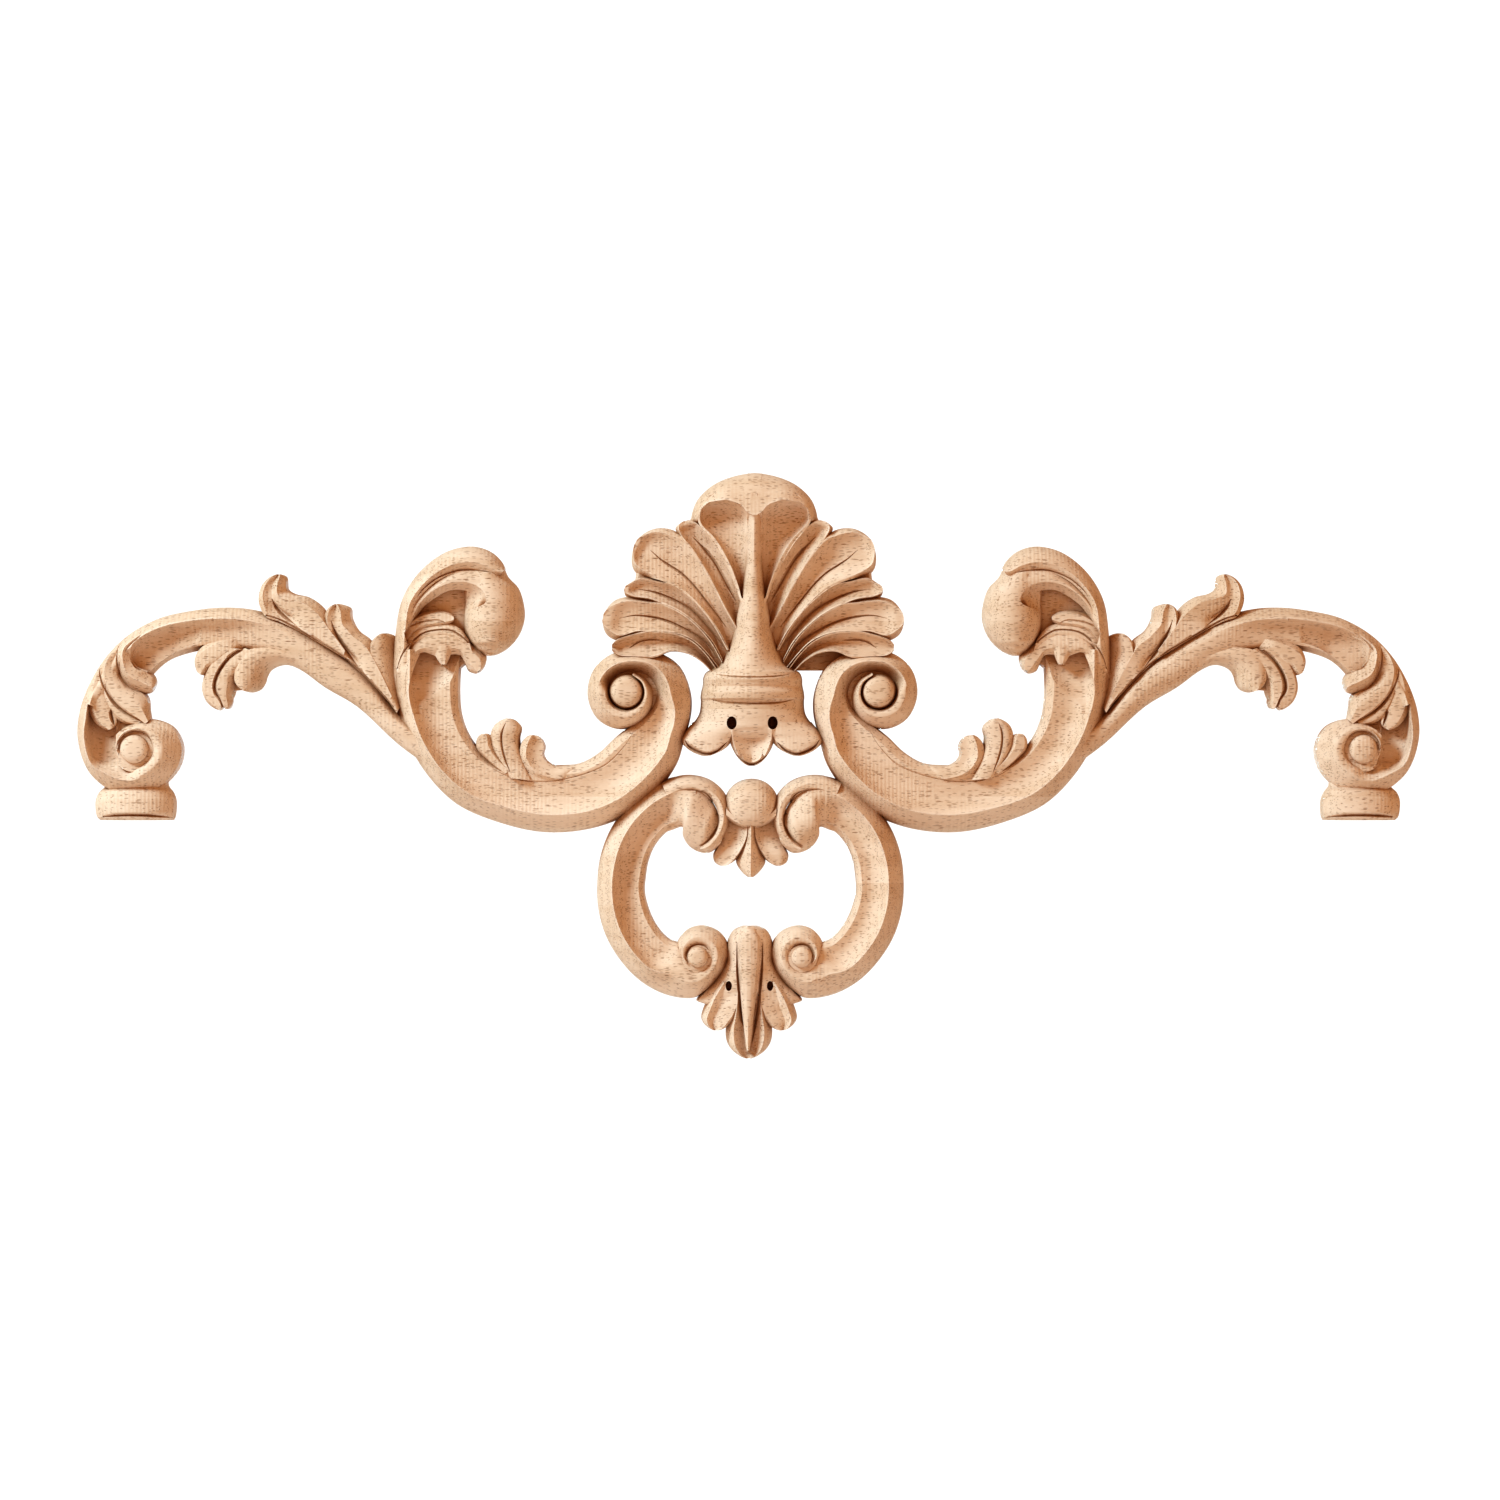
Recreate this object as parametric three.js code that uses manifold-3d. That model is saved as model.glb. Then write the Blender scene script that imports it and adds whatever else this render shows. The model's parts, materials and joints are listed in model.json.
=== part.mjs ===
// Carved openwork headpiece for furniture: a shell over a bell flower, two S-scrolls,
// two arched arms that end in feet, and a C-scroll ring with a pendant and a tail leaf.
// It is one glued-up piece of hardwood with a flat back, relief-carved from the front.
//
// Frame, in millimetres: X to the right, Z up, the carving looks towards -Y.
// The flat back lies in the plane Y = 0, on the centre line the feet stand at Z = 0.

import * as THREE from 'three';
import Module from 'manifold-3d';
import { mergeVertices } from 'three/addons/utils/BufferGeometryUtils.js';

const wasm = await Module();
wasm.setup();

// Driving sizes
const LENGTH = 672;      // over the outer edges of the two arms
const THICKNESS = 28;    // from the flat back to the crown of the shell
const EDGE_LEAN = 1.6;   // how far a carved tip slopes back between its top and the back
const DRAFT = 0.6;       // how much farther out a carved wall stands than its drawn edge

// The carving is drawn for these two sizes and follows the driving ones in proportion
const DRAWN_LENGTH = 672;
const DRAWN_THICKNESS = 28;
const PLAN = LENGTH / DRAWN_LENGTH;
const RELIEF = THICKNESS / DRAWN_THICKNESS;

// The halves aren't an exact mirror image. The right one moves right by RIGHT_LEAN for each
// millimetre over LEVEL, and beyond SHORT_FROM its arm is shorter by the share ARM_SHORTER.
const RIGHT_LEAN = 0.021;
const LEVEL = -55;
const ARM_SHORTER = 0.0175;
const SHORT_FROM = 125;
const BLEND = 20;        // half the width of the zone in which one half passes to the other

// Every carved body runs this far behind the back plane before the back is planed flat
const SPARE = 2;

// Finish
const WOOD_COLOUR = 0xe0b48c;
const WOOD_ROUGHNESS = 0.62;

// Closed meshes and joining

function signedVolume(positions, triangles) {
  let volume = 0;
  const corner = [new THREE.Vector3(), new THREE.Vector3(), new THREE.Vector3()];
  for (let i = 0; i < triangles.length; i += 3) {
    corner.forEach((v, k) => v.fromArray(positions, 3 * triangles[i + k]));
    volume += corner[0].dot(corner[1].cross(corner[2])) / 6;
  }
  return volume;
}

function toSolid(geometry) {
  geometry.deleteAttribute('normal');
  geometry.deleteAttribute('uv');
  const merged = mergeVertices(geometry, 1e-4);
  const positions = merged.getAttribute('position').array;
  const index = merged.getIndex().array;
  const triangles = [];
  for (let i = 0; i < index.length; i += 3) {
    const [a, b, c] = [index[i], index[i + 1], index[i + 2]];
    if (a !== b && b !== c && c !== a) triangles.push(a, b, c);
  }
  if (signedVolume(positions, triangles) < 0) triangles.reverse();
  const mesh = new wasm.Mesh({
    numProp: 3,
    vertProperties: Float32Array.from(positions),
    triVerts: Uint32Array.from(triangles),
  });
  return new wasm.Manifold(mesh);
}

const join = (solids) => solids.reduce((all, one) => all.add(one));

function toGeometry(solid) {
  const { vertProperties, triVerts } = solid.getMesh();
  const geometry = new THREE.BufferGeometry();
  geometry.setAttribute('position', new THREE.BufferAttribute(vertProperties, 3));
  geometry.setIndex(new THREE.BufferAttribute(triVerts, 1));
  geometry.computeVertexNormals();
  return geometry;
}

function mirrored(solid) {
  return toSolid(toGeometry(solid).scale(-1, 1, 1));
}

// Joined strips leave many slivers. Thinning moves one corner at a time onto a neighbour,
// the least visible moves first, until the solid has few enough faces. A corner on a flat
// face, the back or the underside of a foot, stays on it.

const FACE_BUDGET = 9900;
const SLIVER = 2e-3;
const FLAT = 1e-3;

function cornerNormal(p, q, r) {
  return q.clone().sub(p).cross(r.clone().sub(p));
}

// The squared distance of a point to the planes of some faces, weighted by their areas
class Planes {
  constructor() {
    this.matrix = new Float64Array(10);
  }

  addFace(p, q, r) {
    const normal = cornerNormal(p, q, r);
    const area = normal.length() / 2;
    if (area < 1e-9) return;
    normal.divideScalar(2 * area);
    const { x, y, z } = normal;
    const w = -normal.dot(p);
    [x * x, x * y, x * z, x * w, y * y, y * z, y * w, z * z, z * w, w * w]
      .forEach((value, i) => { this.matrix[i] += area * value; });
  }

  add(other) {
    other.matrix.forEach((value, i) => { this.matrix[i] += value; });
  }

  errorAt({ x, y, z }) {
    const [xx, xy, xz, xw, yy, yz, yw, zz, zw, ww] = this.matrix;
    return x * (xx * x + 2 * (xy * y + xz * z + xw)) + y * (yy * y + 2 * (yz * z + yw))
      + z * (zz * z + 2 * zw) + ww;
  }
}

function thinned(geometry, budget) {
  const position = geometry.getAttribute('position');
  const points = Array.from({ length: position.count }, (unused, i) => (
    new THREE.Vector3().fromBufferAttribute(position, i)
  ));
  const faces = new Map();
  const facesAt = points.map(() => new Set());
  const planesAt = points.map(() => new Planes());
  const index = geometry.getIndex().array;
  for (let i = 0; i < index.length; i += 3) {
    const corners = [index[i], index[i + 1], index[i + 2]];
    faces.set(i, corners);
    corners.forEach((corner) => {
      facesAt[corner].add(i);
      planesAt[corner].addFace(...corners.map((k) => points[k]));
    });
  }

  const onBack = (point) => Math.abs(point.y) < FLAT;
  const onFoot = (point) => Math.abs(point.z) < FLAT;
  const keepsFlats = (from, to) => (!onBack(from) || onBack(to)) && (!onFoot(from) || onFoot(to));
  const neighbours = (corner) => {
    const found = new Set([...facesAt[corner]].flatMap((face) => faces.get(face)));
    found.delete(corner);
    return found;
  };
  const staysOpen = (from, to) => {
    const near = neighbours(to);
    return [...neighbours(from)].filter((corner) => near.has(corner)).length === 2;
  };
  const keepsFacing = (from, to) => {
    const turned = [];
    const facing = new THREE.Vector3();
    for (const face of facesAt[from]) {
      const corners = faces.get(face);
      const before = cornerNormal(...corners.map((k) => points[k]));
      facing.add(before);
      if (corners.includes(to)) continue;
      const after = cornerNormal(...corners.map((k) => points[k === from ? to : k]));
      turned.push([before, after]);
    }
    return turned.every(([before, after]) => (
      before.length() < SLIVER
        ? after.length() < SLIVER || after.dot(facing) > 0
        : after.length() > SLIVER && after.dot(before) > 0.4 * after.length() * before.length()
    ));
  };

  let removed = true;
  while (faces.size > budget && removed) {
    removed = false;
    const moves = [];
    points.forEach((point, from) => {
      for (const to of neighbours(from)) {
        if (!keepsFlats(point, points[to])) continue;
        const error = planesAt[from].errorAt(points[to]) + planesAt[to].errorAt(points[to]);
        moves.push([error + 1e-6 * point.distanceToSquared(points[to]), from, to]);
      }
    });
    moves.sort((p, q) => p[0] - q[0]);
    const touched = new Set();
    const share = Math.max(50, (faces.size - budget) / 6);
    for (const [, from, to] of moves.slice(0, 8 * share)) {
      if (faces.size <= budget || touched.size > 12 * share) break;
      if (touched.has(from) || touched.has(to)) continue;
      if (!staysOpen(from, to) || !keepsFacing(from, to)) continue;
      neighbours(from).forEach((corner) => touched.add(corner));
      touched.add(from);
      for (const face of [...facesAt[from]]) {
        const corners = faces.get(face);
        if (corners.includes(to)) {
          corners.forEach((corner) => facesAt[corner].delete(face));
          faces.delete(face);
        } else {
          faces.set(face, corners.map((k) => (k === from ? to : k)));
          facesAt[to].add(face);
        }
      }
      facesAt[from].clear();
      planesAt[to].add(planesAt[from]);
      removed = true;
    }
  }

  const used = new Map();
  const thinIndex = [...faces.values()].flat().map((corner) => {
    if (!used.has(corner)) used.set(corner, used.size);
    return used.get(corner);
  });
  const thinPoints = [...used.keys()].map((corner) => points[corner]);
  const thin = new THREE.BufferGeometry().setFromPoints(thinPoints);
  thin.setIndex(thinIndex);
  thin.computeVertexNormals();
  return thin;
}

function leaned(geometry) {
  const position = geometry.getAttribute('position');
  for (let i = 0; i < position.count; i++) {
    const [x, z] = [position.getX(i) / PLAN, position.getZ(i) / PLAN];
    const share = THREE.MathUtils.smoothstep(x, -BLEND, BLEND);
    const shift = RIGHT_LEAN * (z - LEVEL) - ARM_SHORTER * Math.max(0, x - SHORT_FROM);
    position.setX(i, PLAN * (x + share * shift));
  }
  return geometry;
}

// A carved point: x and z in the plan, height over the back
const carved = (x, z, height) => [PLAN * x, -RELIEF * height, PLAN * z];

// Closes a grid of points to a solid. The first row lies behind the back, straight below the
// second one; so does the last row, or else all its points meet in the tip.
function closeGrid(rows, hasTip) {
  const across = rows[0].length;
  const down = rows.length;
  const geometry = new THREE.PlaneGeometry(1, 1, across - 1, down - 1);
  geometry.getAttribute('position').array.set(rows.flat(2));
  const faces = [...geometry.getIndex().array];
  const left = (row) => row * across;
  const right = (row) => row * across + across - 1;
  for (let i = 0; i < across - 1; i++) faces.push(left(0) + i, left(0) + i + 1, left(2));
  faces.push(right(0), right(2), left(2));
  const end = hasTip ? down - 1 : down - 3;
  for (let j = 2; j < end; j++) {
    faces.push(left(j), right(j), right(j + 1), left(j), right(j + 1), left(j + 1));
  }
  if (!hasTip) {
    const last = left(down - 1);
    for (let i = 0; i < across - 1; i++) faces.push(last + i + 1, last + i, right(end));
    faces.push(left(end), right(end), last);
  }
  geometry.setIndex(faces);
  return toSolid(geometry);
}

// Carved strips: a section runs between two edges, each section is a list of
// [share of the width, height over the back], and ends with its walls down to the back

const ease = (t) => t * t * (3 - 2 * t);

function sectionAt(keys, t) {
  const next = keys.findIndex(([place]) => place >= t);
  if (next <= 0) return keys[next < 0 ? keys.length - 1 : 0][1];
  const [t0, from] = keys[next - 1];
  const [t1, to] = keys[next];
  const share = ease((t - t0) / (t1 - t0));
  return from.map(([u, h], i) => [u + share * (to[i][0] - u), h + share * (to[i][1] - h)]);
}

function edgeCurve(points) {
  const places = points.map(([x, z]) => new THREE.Vector3(x, 0, z));
  return new THREE.CatmullRomCurve3(places, false, 'centripetal');
}

// Rungs are [edge point, other edge point, section]; a rung without a section takes the
// blend of its neighbours. A strip that ends in a tip has one point as its last rung. It can
// be built over some of its rungs only, and it reaches to a base level with drafted walls.
function strip(rungs, {
  steps = 2, start = 0, stop = rungs.length - 1, base = -SPARE, draft = DRAFT,
} = {}) {
  const last = rungs.length - 1;
  const tip = rungs[last].length === 1 ? rungs[last][0] : null;
  const firstEdge = rungs.map(([p]) => p);
  const otherEdge = rungs.map(([p, q]) => q ?? p);
  const round = edgeCurve([...firstEdge, ...otherEdge.slice(0, tip ? -1 : undefined).reverse()]);
  const [left, right] = tip
    ? [(t) => round.getPoint(t / (2 * last)), (t) => round.getPoint(1 - t / (2 * last))]
    : [firstEdge, otherEdge].map((edge) => {
      const curve = edgeCurve(edge);
      return (t) => curve.getPoint(t / last);
    });
  const keys = rungs.map(([, , section], i) => [i, section]).filter(([, section]) => section);

  const stops = Array.from(
    { length: (stop - start) * steps + 1 },
    (unused, i) => start + i / steps,
  );
  if (tip) {
    const before = left(last - 1).add(right(last - 1)).divideScalar(2);
    const reach = before.distanceTo(new THREE.Vector3(tip[0], 0, tip[1]));
    stops[last * steps] = last - Math.min(0.3, EDGE_LEAN / reach);
  }
  const rows = stops.map((t) => {
    const [p, q] = [left(t), right(t)];
    const outwards = p.clone().sub(q).setLength(draft);
    p.add(outwards);
    q.sub(outwards);
    const across = sectionAt(keys, t).map(([u, h]) => {
      const at = p.clone().lerp(q, u);
      return carved(at.x, at.z, h);
    });
    return [carved(p.x, p.z, base), ...across, carved(q.x, q.z, base)];
  });
  const flat = (row) => row.map(([x, , z]) => [x, -RELIEF * base, z]);
  const end = tip ? rows[0].map(() => carved(tip[0], tip[1], base)) : flat(rows.at(-1));
  return closeGrid([flat(rows[0]), ...rows, end], Boolean(tip));
}

// A strip that winds over itself comes in spans that end at the given rungs
function wound(rungs, cuts) {
  const ends = [0, ...cuts, rungs.length - 1];
  return ends.slice(1).map((stop, i) => strip(rungs, { start: ends[i], stop }));
}

// Rungs round the eye of a volute: [angle from the right, outer radius, inner radius, section]
function turns([x, z], list) {
  const at = (degrees, radius) => {
    const angle = THREE.MathUtils.degToRad(degrees);
    return [x + radius * Math.cos(angle), z + radius * Math.sin(angle)];
  };
  return list.map(([degrees, outer, inner, section]) => (
    [at(degrees, outer), at(degrees, inner), section]
  ));
}

// The gouge cuts a hollow: the sections give its floor, their ends lie in the edge
function gouge(rungs) {
  return strip(rungs, { base: DRAWN_THICKNESS + SPARE, draft: 0 });
}

// A turned form in the carving: profile is [share of the radius, height over the back]
function dome([x, z], [acrossX, acrossZ], profile, sides = 24) {
  const points = [[0, -SPARE], [1, -SPARE], ...profile, [0, profile.at(-1)[1]]];
  const turned = points.map(([r, h]) => new THREE.Vector2(r, RELIEF * h));
  const geometry = new THREE.LatheGeometry(turned, sides);
  geometry.scale(PLAN * acrossX, -1, PLAN * acrossZ);
  geometry.translate(PLAN * x, 0, PLAN * z);
  return toSolid(geometry);
}

// Sections, in millimetres over the back

const raised = (section, by) => section.map(([u, h]) => [u, h + by]);
const scaled = (section, share) => section.map(([u, h]) => [u, share * h]);
const level = (h) => [[.02, h], [.5, h - .3], [.98, h]];

const SCROLL = [[.05, 12.5], [.27, 22.5], [.4, 16.5], [.6, 14], [.86, 15.5], [.97, 12]];
const SCROLL_TURN = [[.05, 12.5], [.34, 22.3], [.47, 17.5], [.65, 15], [.88, 15], [.98, 12]];
const VOLUTE_IN = [[.05, 12.5], [.6, 22], [.69, 20], [.79, 17], [.9, 14.5], [.99, 12]];
const VOLUTE_TOP = [[.07, 12.5], [.54, 21.6], [.63, 20], [.75, 16.5], [.9, 13.5], [.98, 12]];
const VOLUTE_RIM = [[.08, 12.5], [.52, 21.2], [.7, 22.3], [.86, 22], [.96, 18.5], [.99, 15]];
const ARCH_FLAT = [[.08, 12], [.28, 16.8], [.45, 17.5], [.62, 17.2], [.86, 15], [.95, 12.5]];
const ARCH_COVE = [[.05, 12.5], [.28, 20], [.4, 16], [.55, 14.2], [.78, 14], [.87, 13.5]];
const FOOT_COVE = [[.05, 12.5], [.25, 21], [.38, 15.5], [.55, 12.5], [.8, 12], [.98, 12]];
const FOOT_TURN = [[.05, 12.5], [.46, 21], [.62, 17.8], [.8, 16.2], [.95, 15], [.99, 13]];
const FOOT_RIM = [[.05, 12.5], [.55, 21.2], [.72, 22.2], [.86, 21.4], [.95, 18], [.99, 14]];
const ARM_BARE = [[.05, 12.5], [.2, 16.5], [.32, 16.8], [.5, 13], [.8, 12], [.98, 12]];
const RING = [[.06, 12], [.33, 21.5], [.46, 16], [.66, 13.3], [.87, 14.5], [.97, 11.5]];
const RING_TOP = [[.06, 12], [.3, 19.5], [.5, 19.2], [.7, 18.6], [.9, 16], [.96, 12]];
const RING_RIM = [[.06, 12], [.48, 20.2], [.66, 20.8], [.82, 19.8], [.95, 16.5], [.99, 13]];

const ROUND_LEAF = [[.06, 13.5], [.22, 17], [.7, 17.5], [.96, 14.5]];
const RIGHT_LEAF = [[.04, 15], [.2, 18], [.6, 17.5], [.92, 12.5]];
const FOLDED_LEAF = [[.06, 14], [.14, 17.5], [.36, 13.5], [.4, 13.5], [.48, 17], [.85, 17.5], [.96, 13.5]];

const EYE = [[.97, 15], [.82, 21.5], [.45, 23.6]];
const BOSS_EDGE = 11.5;

// The S-scroll: from the crest down, along the bottom and up into the shell volute

const shellEye = [-61.5, 64];

function sScroll() {
  return join([
    ...wound([
      [[-178, 85], [-144, 85], SCROLL],
      [[-177.5, 65], [-145.25, 65]],
      [[-175.5, 52.5], [-144, 51.5]],
      [[-170, 37.5], [-139, 40]],
      [[-160, 21.5], [-130, 30.5]],
      [[-146, 8], [-118, 26], SCROLL],
      [[-125, -1], [-106, 26.5]],
      [[-102.5, -5.75], [-97, 27]],
      [[-80, -4], [-85, 28]],
      [[-62, 2.5], [-75, 33.5]],
      [[-47.5, 13.5], [-67, 41]],
      [[-37, 28], [-58, 48], SCROLL],
      ...turns(shellEye, [
        [-40, 37, 15.25, SCROLL_TURN],
        [-17, 33.3, 15.5],
        [1, 31.25, 15.75, VOLUTE_IN],
        [26, 28.85, 14.5],
        [50, 25, 12.75],
        [80, 21, 10.75, VOLUTE_TOP],
        [113, 20, 10],
        [147, 19.6, 9.85, VOLUTE_TOP],
        [184, 19.3, 9.65, VOLUTE_RIM],
        [221, 19.5, 9.5],
        [254, 18.7, 9.4],
        [285, 17.1, 9.3],
        [320, 15, 9.2],
        [355, 13, 9.15],
        [390, 11.25, 9.15],
        [430, 10.15, 9.15, VOLUTE_RIM],
      ]),
    ], [17, 22]),
    dome(shellEye, [17, 17], [[1, BOSS_EDGE]]),
    dome(shellEye, [9, 9], EYE),
  ]);
}

// The arched arm: from the S-scroll up over the arch and down into the foot volute

const footEye = [-306.35, 35.5];

function arm() {
  return join([
    ...wound([
      [[-159, 42.5], [-159, 26], ARCH_FLAT],
      [[-175, 53], [-176, 38.5]],
      [[-187.5, 68.5], [-196, 57]],
      [[-202.5, 82], [-212, 66.5]],
      [[-219, 92.5], [-225.5, 76], ARCH_FLAT],
      [[-235, 101], [-240, 81]],
      [[-250, 105], [-255, 85]],
      [[-265, 105.75], [-269, 85.5], ARCH_COVE],
      [[-280, 104], [-281, 83.5]],
      [[-295, 100.5], [-291, 79.5]],
      [[-310, 92.5], [-299, 72], ARCH_COVE],
      [[-321, 82], [-304, 64], ARM_BARE],
      [[-329, 69.5], [-309, 56], ARM_BARE],
      [[-334, 57], [-314, 49], FOOT_COVE],
      ...turns(footEye, [
        [162, 30.9, 11.25, FOOT_COVE],
        [177, 28.55, 10.5],
        [194, 26.9, 10, FOOT_COVE],
        [212, 25.7, 9.5],
        [238, 24, 9, FOOT_TURN],
        [268, 22.5, 8.65],
        [300, 22.25, 8.5, FOOT_RIM],
        [335, 23, 8.5],
        [362, 23.25, 8.5],
        [388, 21.4, 8.5],
        [407, 18.5, 8.5],
        [427, 15.75, 8.5],
        [452, 13.15, 8.5],
        [482, 11.65, 8.5],
        [512, 10.6, 8.5],
        [545, 9.5, 8.5, FOOT_RIM],
      ]),
    ], [19, 24]),
    dome(footEye, [15, 15], [[1, BOSS_EDGE]]),
    dome(footEye, [8.25, 8.25], EYE),
  ]);
}

// The foot: a cushion block with a flat underside

const FOOT = [[.03, 9], [.2, 16], [.5, 19], [.8, 16], [.97, 9]];

function foot() {
  return strip([
    [[-324.5, 0], [-288.25, 0], scaled(FOOT, .78)],
    [[-326, 1.5], [-287.5, 1.5], scaled(FOOT, .92)],
    [[-326.75, 4.5], [-287, 4.5], FOOT],
    [[-326.75, 10], [-287, 10], FOOT],
    [[-325, 14], [-288.5, 14], scaled(FOOT, .95)],
    [[-322, 17], [-290.75, 17], scaled(FOOT, .82)],
    [[-323, 21], [-291, 21], scaled(FOOT, .8)],
  ]);
}

function footLeaves() {
  return [
    strip([
      [[-300, 96.5], [-297, 93], [[.05, 11], [.5, 14], [.95, 12]]],
      [[-308, 91.5], [-304.5, 89.5], [[.05, 14.5], [.5, 18.8], [.95, 16]]],
      [[-314.75, 84.5], [-309, 85], [[.05, 15], [.5, 20.3], [.95, 17]]],
      [[-314.75, 77.5], [-308.75, 79.5]],
      [[-313, 71], [-306, 75.5], [[.05, 13.5], [.45, 19.5], [.95, 17]]],
      [[-309, 66], [-301.5, 74.25]],
      [[-304, 63.5], [-298, 72.25], [[.1, 12.5], [.5, 18.5], [.9, 13]]],
      [[-299.5, 63.75], [-296.5, 69]],
      [[-297.25, 65.5]],
    ]),
    strip([
      [[-316.5, 86], [-313.5, 87.5], [[.05, 12], [.25, 14], [.6, 14], [.97, 12]]],
      [[-320.75, 80.5], [-314, 82], [[.05, 14.5], [.25, 18], [.6, 16.5], [.97, 13.5]]],
      [[-323, 75], [-314, 77.5]],
      [[-322.5, 69.5], [-312.5, 71.5]],
      [[-320, 63], [-308, 66.5]],
      [[-315.5, 57.25], [-302, 63], [[.03, 14.5], [.15, 17.5], [.6, 17.5], [.94, 13]]],
      [[-309.5, 52.5], [-300.25, 60]],
      [[-304, 49.75], [-299.75, 54.5]],
      [[-301, 48], [-299, 50]],
    ]),
    strip([
      [[-321.5, 80], [-319, 81], [[.05, 11], [.3, 13], [.7, 13], [.97, 12]]],
      [[-326.5, 72], [-322, 72], [[.05, 14.5], [.3, 16.5], [.7, 16], [.97, 14]]],
      [[-329.5, 64], [-321, 65]],
      [[-330.25, 57.5], [-318, 57.5], [[.06, 14], [.25, 16.5], [.7, 16], [.95, 14.5]]],
      [[-328.5, 52], [-316.5, 53]],
      [[-325.5, 47.75], [-315.5, 50]],
      [[-321.5, 45.5], [-316, 47.5]],
      [[-318.5, 45.25]],
    ]),
    strip([
      [[-323.5, 70], [-320.5, 65], [[.05, 14], [.3, 16], [.7, 16], [.97, 14.5]]],
      [[-321.5, 60], [-316.5, 58.5]],
      [[-317, 52], [-311.5, 53.75]],
      [[-312, 48.5], [-306, 50.75]],
      [[-306.5, 47.25], [-302.5, 49.5]],
    ]),
  ];
}

// Leaves under and over the arch

function archLeaves() {
  return [
    strip([
      [[-250, 93], [-250, 86], [[.06, 10], [.22, 12], [.7, 12], [.96, 11]]],
      [[-263, 90.25], [-258.5, 82.5], ROUND_LEAF],
      [[-272, 87.5], [-264, 76.5]],
      [[-275.5, 83.75], [-268.5, 75.5]],
      [[-276.75, 78.5], [-270.75, 73.5]],
      [[-274.25, 72.75]],
    ]),
    strip([
      [[-262, 86], [-252.5, 85.25], [[.04, 14.5], [.2, 17], [.75, 17.5], [.98, 15]]],
      [[-268.5, 79], [-259.5, 80.5]],
      [[-271.75, 72], [-264.25, 74.5]],
      [[-272.75, 65.5], [-266.5, 68]],
      [[-271, 60], [-266, 63.5]],
      [[-267.5, 56.5], [-263.5, 59.75]],
      [[-263.5, 55.25]],
    ]),
    strip([
      [[-251.5, 85.75], [-243, 82.5], [[.04, 15], [.2, 17.5], [.6, 17.8], [.98, 17]]],
      [[-258.5, 81.25], [-250, 78]],
      [[-263.5, 75.25], [-255.75, 73.75], [[.04, 15], [.2, 17.5], [.6, 17.8], [.98, 16]]],
      [[-266.25, 69], [-256.5, 67.5], RIGHT_LEAF],
      [[-266, 64.25], [-257.5, 63]],
      [[-264, 60.5], [-258.5, 60.5]],
      [[-262.25, 57], [-258.75, 58]],
      [[-260.25, 55.5]],
    ]),
    strip([
      [[-229, 85], [-224, 75.75], [[.05, 15.5], [.3, 17.5], [.6, 16.5], [.9, 12]]],
      [[-240, 86], [-232.5, 77.75]],
      [[-250, 84.5], [-239, 75.25], [[.02, 17], [.25, 18.5], [.6, 17], [.88, 12]]],
      [[-255, 80], [-241.25, 71.75], [[.02, 17], [.25, 18.5], [.6, 17], [.88, 12]]],
      [[-256.25, 74.5], [-242.25, 68.5]],
      [[-256, 68.5], [-245, 65]],
      [[-251, 64]],
    ]),
    strip([
      [[-202.5, 82.5], [-201.5, 86], FOLDED_LEAF],
      [[-214, 88.5], [-208.5, 97]],
      [[-225, 94], [-213, 106]],
      [[-235, 99.5], [-220.5, 111.5]],
      [[-242.5, 103], [-228.5, 112.75]],
      [[-245, 109], [-230.75, 115]],
      [[-243.75, 116.25], [-231.25, 118.5]],
      [[-239.75, 120.75], [-231.75, 121.25]],
      [[-234.5, 122.6]],
    ]),
    strip([
      [[-180, 59.5], [-178, 62], FOLDED_LEAF],
      [[-191, 71.5], [-185, 80]],
      [[-200, 79.5], [-189.5, 89.75]],
      [[-207.5, 86], [-195.5, 94.5]],
      [[-212, 93], [-199, 100.5]],
      [[-212.75, 100], [-200.25, 105.5]],
      [[-210, 105.75], [-202.75, 107.25]],
      [[-206, 107.75]],
    ]),
    strip([
      [[-176, 53.5], [-174, 57], [[.06, 13.5], [.16, 17.5], [.4, 15.5], [.98, 13.5]]],
      [[-183, 63.5], [-175, 65]],
      [[-189, 74], [-176, 76]],
      [[-190.75, 83], [-176.5, 85]],
      [[-188.5, 89.5], [-176.75, 91]],
      [[-182.5, 93.25]],
    ]),
  ];
}

// The crest of the S-scroll: a hood, a curled band with its ball, and small leaves

const HOOD = [[.06, 12.5], [.3, 20], [.65, 24], [.98, 21]];
const BALL = [[.03, 13], [.12, 19.5], [.28, 24.3], [.5, 26.3], [.72, 24.3], [.88, 19.5], [.97, 13]];

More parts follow.
